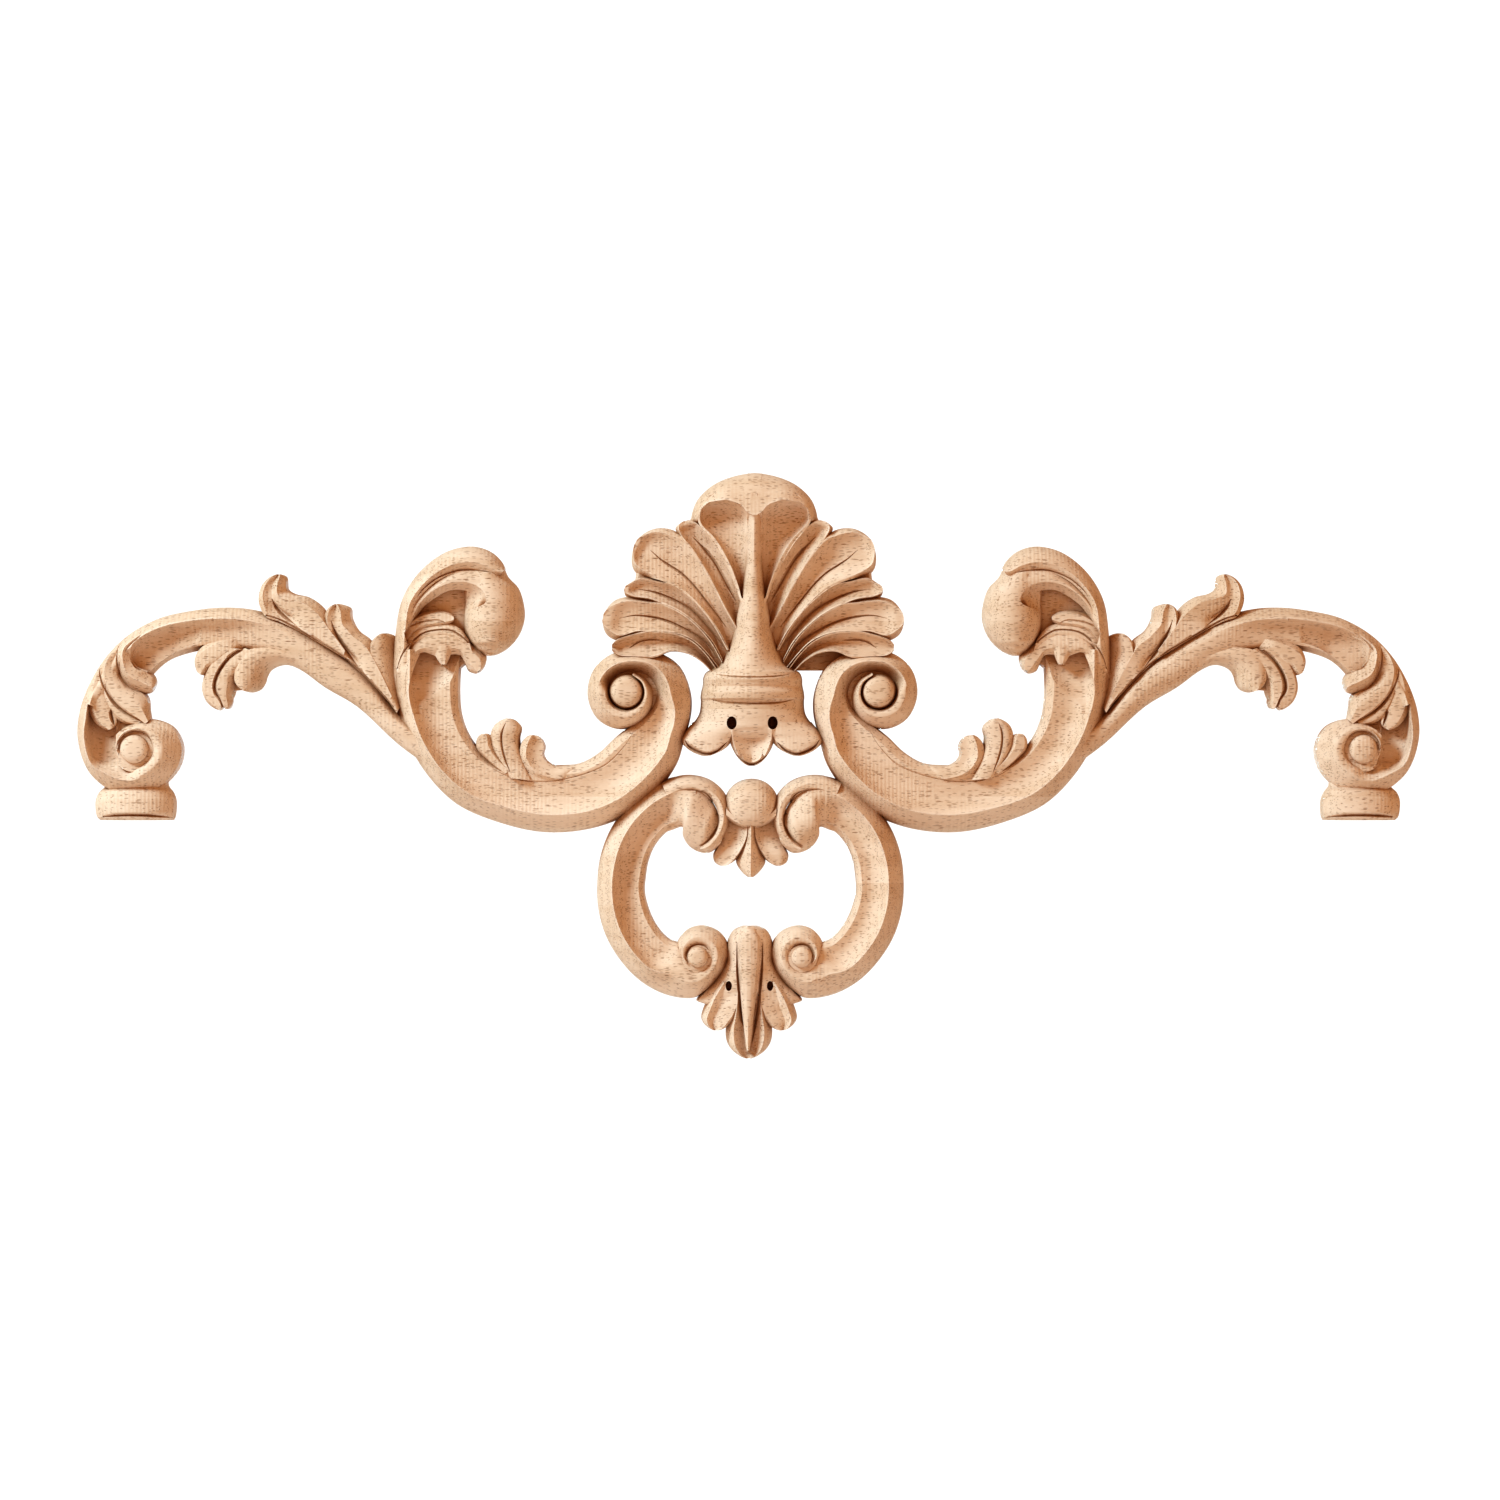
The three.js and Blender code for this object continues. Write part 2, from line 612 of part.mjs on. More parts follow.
function crest() {
  return [
    strip([
      [[-177.75, 52.5], [-173, 52.5], [[.1, 8], [.4, 10], [.7, 11], [.98, 11]]],
      [[-178, 67.5], [-172, 67.5], [[.1, 11.5], [.4, 13.5], [.7, 16], [.98, 17]]],
      [[-177.75, 81], [-170.5, 81], [[.1, 12.5], [.4, 18], [.7, 20.5], [.98, 20.5]]],
      [[-176.75, 92], [-169, 94], HOOD],
      [[-174, 108], [-167, 107]],
      [[-168.5, 119], [-161.5, 114.5], HOOD],
      [[-160, 128.25], [-155, 119.75]],
      [[-150, 134.25], [-147.5, 123.25]],
      [[-138.5, 136.25], [-139.5, 124.5]],
      [[-129.5, 133.5], [-132, 123.25]],
      [[-124, 128.25], [-127, 122]],
      [[-122.5, 124]],
    ]),
    strip([
      [[-173.5, 82.5], [-168.5, 87.5], [[.02, 18], [.4, 21], [.8, 21], [.98, 20]]],
      [[-172, 97.5], [-168, 98]],
      [[-167.5, 108], [-163.5, 106]],
      [[-160.5, 115.5], [-156.5, 111.5]],
      [[-151.5, 121.5], [-149.5, 115]],
      [[-143.5, 125], [-142.5, 115], [[.02, 20], [.4, 23], [.8, 22.5], [.98, 21.5]]],
      [[-135, 125], [-135, 112.5]],
      [[-128, 123], [-129, 111], [[.02, 22], [.4, 24.5], [.8, 25], [.98, 24]]],
    ]),
    strip([
      [[-140, 128], [-123.5, 127], scaled(BALL, .78)],
      [[-141.5, 122], [-121.25, 121.5], scaled(BALL, .92)],
      [[-142.5, 115], [-116.25, 116], scaled(BALL, .98)],
      [[-142, 108], [-113.75, 109], BALL],
      [[-142.75, 100], [-113, 101.5], BALL],
      [[-142.25, 94], [-114.75, 94.5]],
      [[-140.25, 89.5], [-117.75, 89.5], scaled(BALL, .9)],
      [[-137.5, 85.75], [-121.5, 85.75], scaled(BALL, .76)],
      [[-134.5, 83.25], [-125.5, 83.25], scaled(BALL, .6)],
      [[-130, 82]],
    ]),
  ];
}

// The deep hollow between the crest band and its ball, and the flute beside the stem

function hollows() {
  return [
    gouge([
      [[-172, 93], [-170.5, 87.5], [[0, 20], [.2, 15], [.5, 13.5], [1, 13.5]]],
      [[-168.25, 100.5], [-165, 89]],
      [[-164.5, 107.5], [-159.5, 90], [[0, 20.5], [.12, 15], [.4, 12.5], [1, 12.5]]],
      [[-159.5, 112.75], [-154, 90]],
      [[-153.5, 116.5], [-148.5, 90], [[0, 21.5], [.15, 15.5], [.45, 12.5], [1, 12.5]]],
      [[-146.5, 118.5], [-143.5, 94]],
      [[-139.5, 118.25], [-142.25, 101.5], [[0, 23], [.25, 18.5], [.6, 16], [1, 15]]],
      [[-135, 116], [-138.5, 104.75], [[0, 25], [.3, 23.5], [.65, 22], [1, 21]]],
      [[-132.5, 110.5]],
    ]),
    gouge([
      [[-20.5, 158.25], [-12, 159.5], [[0, 22], [.15, 20], [.4, 20], [.75, 22], [1, 24]]],
      [[-24.5, 154.5], [-5.5, 156.5], [[0, 21], [.12, 16], [.4, 14.5], [.75, 19], [1, 25]]],
      [[-25.25, 148.5], [-2.5, 150.5], [[0, 19.5], [.1, 14.5], [.4, 12.5], [.8, 15], [1, 22]]],
      [[-20, 139], [-2, 137.5]],
      [[-13.5, 128], [-2.5, 126.5], [[0, 19], [.15, 14.5], [.5, 12.5], [.8, 13.5], [1, 17]]],
      [[-8.5, 118], [-3.25, 116.5]],
      [[-4.75, 110]],
    ]),
  ];
}

// The small leaves and the collar under the crest

function crestLeaves() {
  return [
    strip([
      [[-174, 91], [-171, 88], ROUND_LEAF],
      [[-169.5, 99.25], [-166, 93.5]],
      [[-163.5, 103.25], [-161, 95]],
      [[-156, 104.5], [-155, 96]],
      [[-150, 103.25], [-150.5, 97.5]],
      [[-147.25, 100.5]],
    ]),
    strip([
      [[-176.5, 76], [-174, 70], [[.06, 15], [.3, 17], [.7, 17.3], [.96, 15.5]]],
      [[-173, 90], [-169, 82.5]],
      [[-167, 95.5], [-163, 87.5]],
      [[-159, 97.5], [-156, 90]],
      [[-150.5, 98], [-149, 90]],
      [[-144.5, 95.5], [-143, 86]],
      [[-140, 90], [-138, 82]],
    ]),
    strip([
      [[-176.5, 52.5], [-171, 52.5], [[.05, 8], [.3, 11], [.7, 14], [.97, 15]]],
      [[-176.5, 65], [-170, 65], [[.05, 12], [.3, 15.5], [.7, 19.5], [.97, 19]]],
      [[-175, 76.25], [-169, 77], [[.05, 15.5], [.3, 18.8], [.7, 20.5], [.97, 17.5]]],
      [[-172, 83.25], [-166.5, 82.25]],
      [[-167.5, 89], [-163, 84], [[.05, 15], [.3, 18.5], [.7, 19.5], [.97, 17.5]]],
      [[-161.5, 93.25], [-159, 83]],
      [[-155, 94.75], [-154.5, 81]],
      [[-148.5, 94.25], [-148.5, 82.5]],
      [[-142.5, 90.75], [-144.25, 82]],
      [[-137.25, 86.5], [-142, 78], [[.07, 13.5], [.3, 17.5], [.7, 17.5], [.93, 14]]],
      [[-132, 81.5], [-140, 74.5]],
      [[-135, 73.75]],
    ]),
    strip([
      [[-158, 87], [-148, 87], [[.06, 17.5], [.3, 19], [.7, 19], [.94, 17]]],
      [[-156.25, 81.5], [-149.5, 82]],
      [[-152.5, 77.25]],
    ]),
  ];
}

// Sunk grounds that carry a cluster of leaves

const GROUND = [[.03, 10.5], [.5, 11], [.97, 10.5]];

function grounds() {
  return [
    strip([
      [[-267, 86], [-244, 85], GROUND],
      [[-268, 72.5], [-245, 70]],
      [[-264.5, 64], [-252, 65]],
    ]),
    strip([
      [[-230, 104], [-230, 90], GROUND],
      [[-219, 96], [-220, 84]],
      [[-206, 94], [-207.5, 75]],
      [[-194, 90], [-195, 65]],
      [[-182.5, 84], [-182.5, 56]],
      [[-176, 76], [-173, 51]],
    ]),
    strip([
      [[-176, 59], [-168.5, 60], GROUND],
      [[-176, 80], [-142, 78]],
      [[-173.5, 100], [-136, 86]],
      [[-167, 114], [-134, 101]],
      [[-155, 126], [-132.5, 110]],
      [[-140, 131], [-123.5, 112.5]],
      [[-128.5, 127.5], [-119, 110]],
    ]),
    strip([
      [[-17, 77], [1, 72], GROUND],
      [[-25, 82.5], [1, 80]],
      [[-35, 87], [1, 87.5]],
      [[-55, 87], [1, 92.5]],
      [[-68, 95], [1, 100]],
      [[-68.5, 105], [1, 107.5]],
      [[-58.5, 115], [1, 117.5]],
      [[-54.5, 130], [1, 127.5]],
      [[-35, 141], [1, 137.5]],
      [[-25, 157.5], [1, 152.5]],
      [[-10, 167.5], [1, 162.5]],
    ]),
  ];
}

// The leaf that grows from the inner edge of the S-scroll

function scrollLeaves() {
  return [
    strip([
      [[-122.5, 23], [-119, 25], ROUND_LEAF],
      [[-131, 30], [-125, 31.5]],
      [[-136.25, 36], [-128, 37.5]],
      [[-135.75, 41], [-129.25, 41.5]],
      [[-132.5, 43.25]],
    ]),
    strip([
      [[-119, 21], [-116, 22], [[.05, 14.5], [.25, 17.5], [.7, 18], [.98, 15.5]]],
      [[-125.5, 30], [-121.5, 30]],
      [[-129.25, 38], [-123.5, 38]],
      [[-128.5, 45], [-122.5, 44.5]],
      [[-125, 49], [-120, 48]],
      [[-120, 50.75]],
    ]),
    strip([
      [[-117.5, 21], [-108, 20], [[.03, 15.5], [.3, 18], [.7, 16.5], [.92, 13]]],
      [[-122, 30], [-112, 27.5]],
      [[-124, 37.5], [-114.5, 34.5]],
      [[-123, 44], [-115.25, 41]],
      [[-121, 47.75], [-114.5, 46.5]],
      [[-117, 50.5]],
    ]),
    strip([
      [[-86, 20], [-82, 28.5], [[.05, 8], [.3, 11], [.7, 11.5], [.94, 10]]],
      [[-96, 18.5], [-91.5, 26.75], [[.05, 14], [.3, 16.3], [.7, 15.5], [.94, 12.5]]],
      [[-103, 20], [-97.5, 27]],
      [[-110, 23.5], [-101.5, 29.5], [[.05, 15], [.3, 18], [.6, 15.5], [.93, 15]]],
      [[-114.5, 30.5], [-103.25, 33]],
      [[-114.25, 37.5], [-102.5, 36.5]],
      [[-111.5, 41.25], [-104, 40.25]],
      [[-108, 42.5]],
    ]),
  ];
}

// The shell: grooved lobes fan out from a hub, each one dished at its tip

const LOBE = [[.01, 18.5], [.06, 18.8], [.25, 14.8], [.5, 12.8], [.75, 14.8], [.94, 18.8], [.99, 18.5]];
const LOBE_DISH = [[.05, 14], [.12, 17.8], [.27, 15], [.5, 14], [.73, 15], [.88, 17.8], [.95, 14]];
const LOBE_RIM = [[.1, 13], [.17, 17.2], [.3, 16.8], [.5, 16.6], [.7, 16.8], [.83, 17.2], [.9, 13]];
const LOBE_ROOT = raised(LOBE, -3.5);

function lobes() {
  return [
    strip([
      [[-7.5, 96], [-4, 106], LOBE_ROOT],
      [[-12.5, 105.5], [-6.5, 115]],
      [[-19, 119], [-11.5, 126.5], LOBE],
      [[-26.5, 131.5], [-17.5, 137.5]],
      [[-32.5, 139.5], [-22, 143.5], LOBE],
      [[-36, 144], [-25, 147], LOBE_DISH],
      [[-31, 148]],
    ]),
    strip([
      [[-11.5, 85], [-7.5, 96], LOBE_ROOT],
      [[-17.5, 96.5], [-13, 106.5]],
      [[-25, 106.5], [-19.5, 120], LOBE],
      [[-34.5, 115], [-26, 131]],
      [[-44.5, 119.75], [-32.5, 139.5], LOBE],
      [[-53, 121.25], [-38.5, 144.5], LOBE_DISH],
      [[-58, 125.5], [-46.5, 145.5], LOBE_DISH],
      [[-59, 131.5], [-53, 143], LOBE_RIM],
      [[-57, 138.5]],
    ]),
    strip([
      [[-14, 79], [-11, 84.5], LOBE_ROOT],
      [[-18.5, 87.5], [-15.5, 94]],
      [[-25, 95.5], [-22, 103], LOBE],
      [[-32.5, 102], [-29.5, 110.5]],
      [[-41, 106.5], [-38, 117], LOBE],
      [[-50, 109.5], [-47.5, 120], LOBE_DISH],
      [[-58, 110.75], [-54.5, 121], LOBE_DISH],
      [[-62, 112.5], [-59.5, 118.5], LOBE_RIM],
      [[-62.5, 115.75]],
    ]),
    strip([
      [[-16.5, 75.5], [-14, 79.5], LOBE_ROOT],
      [[-22, 83], [-18.5, 88.5]],
      [[-28.5, 89], [-25, 96], LOBE],
      [[-37, 92.75], [-32.5, 102.5]],
      [[-47, 93.75], [-41.5, 107.5], LOBE],
      [[-57, 92.5], [-50.5, 110], LOBE_DISH],
      [[-65.5, 90], [-60, 111.25], LOBE_DISH],
      [[-71.5, 93], [-68, 109.25], LOBE_RIM],
      [[-73.5, 101]],
    ]),
    strip([
      [[-19, 74.5], [-16, 76], LOBE_ROOT],
      [[-24, 79.5], [-21, 82.5]],
      [[-31, 83.5], [-27.5, 89], LOBE],
      [[-39.5, 84.5], [-36, 93]],
      [[-47.5, 81.5], [-46, 94.5], LOBE],
      [[-57.5, 81], [-56, 93.5]],
      [[-65, 81.5], [-65, 91], LOBE_DISH],
      [[-69, 86]],
    ]),
  ];
}

const FLUTE = [[.02, 18.5], [.2, 19.5], [.7, 20], [.98, 20]];

function crown() {
  return [
    strip([
      [[-27.5, 138.5], [-24.5, 139.5], [[.2, 9], [.4, 11], [.7, 12], [.98, 12]]],
      [[-29, 145], [-25, 145.5], [[.15, 12], [.4, 16.5], [.7, 18], [.98, 18.5]]],
      [[-29, 151], [-25, 151.5]],
      [[-26, 159.5], [-22, 156.25], [[.12, 13], [.35, 18.5], [.7, 22], [.98, 23.5]]],
      [[-19, 166.5], [-16.5, 159.25]],
      [[-10, 171], [-9.5, 158.5], [[.07, 13], [.25, 19.5], [.6, 25], [.98, 27.5]]],
      [[-1, 173], [-1, 152], [[.05, 13], [.18, 20], [.5, 26], [.98, 28]]],
      [[3, 172.85], [1, 152]],
    ]),
    strip([
      [[-19, 162.5], [1, 162.5], [[.02, 22], [.4, 23], [.7, 25], [.98, 26.5]]],
      [[-24.5, 156], [1, 156], [[.02, 20], [.4, 22], [.7, 24], [.98, 26]]],
      [[-26.5, 148.5], [1, 148.5], FLUTE],
      [[-20.5, 137.5], [0, 136]],
      [[-13.5, 126], [-1, 125], FLUTE],
      [[-8.5, 116], [-1.5, 115], raised(FLUTE, -1.5)],
      [[-4.5, 106.5], [-3, 106.5]],
    ]),
  ];
}

// The stem, its two-ringed collar and the bell flower below, across the centre line

const ACROSS = [[.02, .45], [.13, .72], [.32, .93], [.5, 1], [.68, .93], [.87, .72], [.98, .45]];

const STEM = [[.02, .6], [.12, .8], [.3, .96], [.5, 1], [.7, .96], [.88, .8], [.98, .6]];

function tier(z, halfWidth, height, across = ACROSS) {
  return [[-halfWidth, z], [halfWidth, z], scaled(across, height)];
}

const BELL_TIP = [[.02, 14], [.09, 18.5], [.3, 20.5], [.7, 21], [.92, 19.5], [.98, 15]];

function bellBody() {
  return strip([
    tier(154, 2.25, 27, STEM),
    tier(148, 2.8, 25, STEM),
    tier(129, 3.2, 22.5, STEM),
    tier(115.5, 4.75, 22.5, STEM),
    tier(103.5, 6.65, 23.5, STEM),
    tier(91.5, 9, 24.5),
    tier(83, 12.25, 25),
    tier(77.5, 15.5, 25.3),
    tier(75.25, 19, 25.6),
    tier(73.5, 21.75, 26.8),
    tier(70.5, 23, 27.8),
    tier(68, 23.1, 26.6),
    tier(66.75, 23.3, 26),
    tier(63.75, 24, 27.8),
    tier(61, 24.3, 27.2),
    tier(59.5, 24.15, 25),
    tier(53, 25, 24.8),
    tier(47.5, 28.75, 24),
    tier(44, 31.75, 22),
    tier(41.5, 32.5, 19),
    tier(39.75, 31, 13),
  ]);
}

function bellSide() {
  return strip([
    [[-28, 49], [-7, 49], [[.02, 8], [.09, 11], [.3, 17], [.7, 21.5], [.92, 22], [.98, 21]]],
    [[-32.75, 43], [-7.5, 44.5], [[.02, 12], [.09, 16], [.3, 19.5], [.7, 21.5], [.92, 21], [.98, 18]]],
    [[-33.75, 39.25], [-9.25, 40.5], BELL_TIP],
    [[-30.5, 35.5], [-12.5, 36.25]],
    [[-26, 33], [-17, 33.5]],
    [[-21.5, 32]],
  ]);
}

function bellMiddle() {
  return strip([
    [[-12, 47], [12, 47], [[.05, 22], [.13, 23], [.3, 22.5], [.5, 22], [.7, 22.5], [.87, 23], [.95, 22]]],
    [[-10, 39.5], [10, 39.5], [[.03, 15], [.09, 20], [.3, 17.5], [.5, 16], [.7, 17.5], [.91, 20], [.97, 15]]],
    [[-7.5, 33.5], [7.5, 33.5]],
    [[-4, 29], [4, 29]],
    [[0, 27]],
  ]);
}

// The ring: a C-scroll on each side, curled at the top round a bulb, at the bottom round an eye

const ringEye = [-26, -68];

function ring() {
  return join([
    ...wound([
      [[-27, 21.5], [-27, -4.5], RING_TOP],
      [[-35, 21.75], [-34, -2], RING_TOP],
      [[-47, 18], [-41, -5], RING],
      [[-60, 8], [-47.5, -12]],
      [[-69, -4], [-51, -20]],
      [[-74.25, -17.5], [-52.5, -28.5]],
      [[-76, -31], [-53, -35]],
      [[-75.5, -44], [-51.5, -42.5]],
      [[-72, -57], [-48.5, -50]],
      [[-65.5, -68.5], [-44.5, -56]],
      [[-56, -79], [-40, -60], RING],
      [[-45, -85.75], [-35.5, -62]],
      ...turns(ringEye, [
        [249, 22, 6.25, RING_RIM],
        [266, 20.25, 6.15],
        [283, 17.25, 6],
        [306, 14.9, 6],
        [335, 14.3, 6],
        [362, 15, 6],
        [385, 15.75, 6],
        [410, 15.75, 6],
        [440, 15.1, 6],
        [466, 14.1, 6],
        [489, 12.8, 6],
        [510, 11.65, 6],
        [540, 9.25, 6],
        [570, 7, 6, RING_RIM],
      ]),
    ], [16, 21]),
    dome(ringEye, [12, 12], [[1, 13.2]]),
    dome(ringEye, [6, 6], EYE),
    strip([
      [[-44, 18.5], [-41, 11.5], [[.06, 12], [.25, 17], [.55, 19.5], [.8, 20], [.98, 19]]],
      [[-35, 21.75], [-34, 14.5]],
      [[-26.5, 21.75], [-27.5, 15], [[.06, 12], [.25, 17.5], [.55, 20.5], [.8, 20], [.98, 17]]],
      [[-19, 19], [-22, 12.5]],
      [[-13, 13], [-17.25, 8]],
      [[-10.25, 4.5], [-15.5, 1.5]],
      [[-11.25, -4], [-17, -5.5]],
      [[-15, -10.75], [-20.5, -10.25]],
      [[-19.5, -14.75], [-23, -12.5]],
      [[-24.75, -14.5]],
    ]),
    strip([
      [[-49, 8], [-45, -6.5], [[.02, 13], [.2, 12.5], [.5, 12], [.8, 12], [.97, 11.5]]],
      [[-40, 11.5], [-39, -4.5], [[.02, 18], [.2, 15.5], [.5, 13.8], [.8, 13.2], [.97, 12.5]]],
      [[-33.5, 14], [-33.75, -3], [[.02, 19.5], [.2, 20], [.5, 19.2], [.8, 17], [.97, 13]]],
      [[-28, 15], [-33.5, -7], [[.02, 18], [.2, 21.5], [.5, 23], [.8, 20], [.97, 13]]],
      [[-22.5, 12.5], [-30.75, -12]],
      [[-18.25, 7.5], [-26.5, -15], [[.02, 16.5], [.2, 19.5], [.5, 21.5], [.8, 19], [.97, 13]]],
      [[-15.5, 1], [-20.75, -16], [[.02, 15.5], [.2, 17], [.5, 18], [.8, 17], [.97, 13]]],
      [[-14, -5], [-16.5, -13.5]],
      [[-14, -10]],
    ]),
  ]);
}

// The bead between the two curls, with its lip and the small three-petalled pendant

const LIP = [[.05, 17], [.3, 20], [.7, 19.5], [.92, 16]];

function bead() {
  return [
    dome([0, 8], [13, 12.75], [[.95, 15], [.75, 21], [.35, 24]]),
    strip([
      [[-12, 7], [-12, 1], LIP],
      [[-6, 2], [-6, -2.5]],
      [[0, 0.75], [0, -3.5]],
      [[6, 2], [6, -2.5]],
      [[12, 7], [12, 1], LIP],
    ]),
    strip([
      [[-2, -1], [2, -1], [[.06, 13.5], [.25, 17], [.5, 19.5], [.75, 17], [.94, 13.5]]],
      [[-2.75, -9], [2.75, -9]],
      [[-5, -15.5], [5, -15.5]],
      [[-6.75, -20.5], [6.75, -20.5]],
      [[-4.5, -25], [4.5, -25]],
      [[0, -28.5]],
    ]),
  ];
}

function pendantPetal() {
  return strip([
    [[-12, 0], [-1, -1], [[.05, 12.5], [.35, 12.5], [.7, 14], [.88, 17.5], [.97, 16]]],
    [[-13, -7], [-1.25, -8]],
    [[-16, -13], [-3.5, -14]],
    [[-18, -17.5], [-6.5, -18.5], [[.08, 13.5], [.3, 15.5], [.65, 16], [.88, 17], [.95, 13.5]]],
    [[-17, -21.25], [-10, -21.5]],
    [[-13.5, -22.75]],
  ]);
}

// The leaf at the foot of the ring

const CALYX = [[.03, 12], [.12, 15.5], [.3, 18], [.5, 18.5], [.7, 18], [.88, 15.5], [.97, 12]];
const CALYX_END = [[.03, 11], [.12, 14], [.3, 15], [.5, 15], [.7, 15], [.88, 14], [.97, 11]];
const TAIL_TIP = [[.07, 13], [.18, 17], [.36, 14], [.5, 13.5], [.64, 14], [.82, 17], [.93, 13]];

function tailCentre() {
  return [
    strip([
      [[-3, -52.75], [3, -52.75], CALYX],
      [[-7.5, -54.75], [7.5, -54.75]],
      [[-10.25, -59], [10.25, -59]],
      [[-11.25, -64], [11.25, -64]],
      [[-11.5, -70], [11.5, -70]],
      [[-16.5, -79], [16.5, -79], CALYX],
      [[-23, -85.5], [23, -85.5]],
      [[-26.5, -90], [26.5, -90], CALYX_END],
      [[-22, -92], [22, -92]],
    ]),
    strip([
      [[-3.5, -54], [3.5, -54], [[.1, 16], [.25, 19], [.5, 20], [.75, 19], [.9, 16]]],
      [[-6, -60], [5.75, -60], [[.06, 18], [.18, 22], [.5, 23], [.8, 22], [.94, 18]]],
      [[-6, -70], [5.5, -70]],
      [[-5.25, -80], [4.5, -80]],
      [[-4.5, -90], [3.25, -90]],
      [[-3, -100], [2, -100]],
      [[-2, -109], [1, -109], [[.06, 16], [.18, 19], [.5, 20], [.8, 19], [.94, 16]]],
      [[-0.25, -115]],
    ]),
    strip([
      [[-8.5, -89], [8.5, -89], TAIL_TIP],
      [[-10, -97.5], [10, -97.5]],
      [[-11.75, -105], [11.75, -105]],
      [[-10.75, -111.5], [10.75, -111.5]],
      [[-6.5, -116.5], [6.5, -116.5]],
      [[0, -118.75]],
    ]),
  ];
}

function tailSide() {
  return strip([
    [[-14, -80], [-2.5, -82.5], [[.07, 16], [.17, 17.5], [.38, 15], [.6, 16], [.85, 17], [.97, 15]]],
    [[-20, -88], [-4, -91.5]],
    [[-23, -94], [-6.5, -97.5], [[.1, 13], [.2, 16.5], [.4, 14], [.62, 15.5], [.85, 16.5], [.95, 14]]],
    [[-24, -99], [-9.5, -101]],
    [[-21.5, -103], [-12.5, -103.5]],
    [[-17, -104.75]],
  ]);
}

// Drilled eyes: each one is a turned cutter that narrows downwards

function drilled(x, z, radiusX, radiusZ, floor) {
  const cutter = [[0, floor], [.6, floor], [1, floor + 6], [1, THICKNESS + SPARE], [0, THICKNESS + SPARE]];
  const geometry = new THREE.LatheGeometry(cutter.map(([r, h]) => new THREE.Vector2(r, RELIEF * h)), 12);
  geometry.scale(PLAN * radiusX, -1, PLAN * radiusZ);
  geometry.translate(PLAN * x, 0, PLAN * z);
  return toSolid(geometry);
}

// The thin waste web left at the back between the shell and its right-hand volute

function web() {
  return strip([
    [[19, 85], [19, 75.25], [[0, 4], [.5, 4], [1, 4]]],
    [[31, 86], [31, 75.25]],
    [[45, 86], [45, 75.25]],
  ]);
}

// Assembly: one half with its mirror image, then the forms on the centre line

const forms = [sScroll(), arm(), foot(), ...crest(), ...grounds(), ...lobes(), ...crown(), ring()];
const leaves = [
  ...footLeaves(), ...archLeaves(), ...crestLeaves(), ...scrollLeaves(),
  bellSide(), pendantPetal(), tailSide(),
];
const half = join([join(forms).subtract(join(hollows())), ...leaves]);
const centre = [bellBody(), bellMiddle(), ...bead(), ...tailCentre(), web()];
const joined = join([half, mirrored(half), ...centre]);

const size = 2 * LENGTH;
const waste = new THREE.BoxGeometry(size, size, size).translate(0, size / 2, 0);
const eyes = [-1, 1].flatMap((side) => [
  drilled(side * 9.5, 48.5, 2.35, 3.25, 9),
  drilled(side * 10.5, -82.5, 1.6, 2.5, 8),
]);
const whole = [toSolid(waste), ...eyes].reduce((solid, cut) => solid.subtract(cut), joined);

const material = new THREE.MeshStandardMaterial({
  color: WOOD_COLOUR,
  roughness: WOOD_ROUGHNESS,
  metalness: 0,
});
const headpiece = new THREE.Mesh(thinned(leaned(toGeometry(whole)), FACE_BUDGET), material);
headpiece.name = 'headpiece';

const object = new THREE.Group();
object.add(headpiece);

export default object;
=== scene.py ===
"""Carved openwork headpiece of pale wood: the fine carving, its finish and a plain studio.

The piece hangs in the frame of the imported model, in metres: X to the right, Z up, the
carving looks towards -Y. The flat back lies in the plane Y = 0, the feet stand at Z = 0.
Plan points and heights in this file are in millimetres.
"""

import json
import math

import bmesh
import bpy
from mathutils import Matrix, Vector

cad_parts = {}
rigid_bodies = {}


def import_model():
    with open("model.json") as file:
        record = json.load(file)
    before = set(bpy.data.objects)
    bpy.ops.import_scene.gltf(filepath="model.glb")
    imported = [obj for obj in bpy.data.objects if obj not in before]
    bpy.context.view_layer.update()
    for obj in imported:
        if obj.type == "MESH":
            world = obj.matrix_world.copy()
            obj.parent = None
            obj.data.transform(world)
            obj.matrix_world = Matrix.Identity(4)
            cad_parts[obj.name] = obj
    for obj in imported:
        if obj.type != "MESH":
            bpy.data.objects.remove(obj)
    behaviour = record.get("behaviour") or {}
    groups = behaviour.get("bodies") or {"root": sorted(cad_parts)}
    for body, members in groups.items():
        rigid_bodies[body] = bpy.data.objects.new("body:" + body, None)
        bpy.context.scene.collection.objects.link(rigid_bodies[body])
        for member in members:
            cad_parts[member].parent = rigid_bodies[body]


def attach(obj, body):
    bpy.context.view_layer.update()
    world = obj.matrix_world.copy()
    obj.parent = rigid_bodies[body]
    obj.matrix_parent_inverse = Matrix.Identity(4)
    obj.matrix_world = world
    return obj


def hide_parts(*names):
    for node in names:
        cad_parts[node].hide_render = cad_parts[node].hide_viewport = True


bl_info = {
    "name": "Carved headpiece",
    "version": (1, 0, 0),
    "blender": (4, 5, 0),
    "location": "3D View > Sidebar > Headpiece",
    "description": "Builds the carved headpiece, its wood and a plain studio",
    "category": "Add Mesh",
}

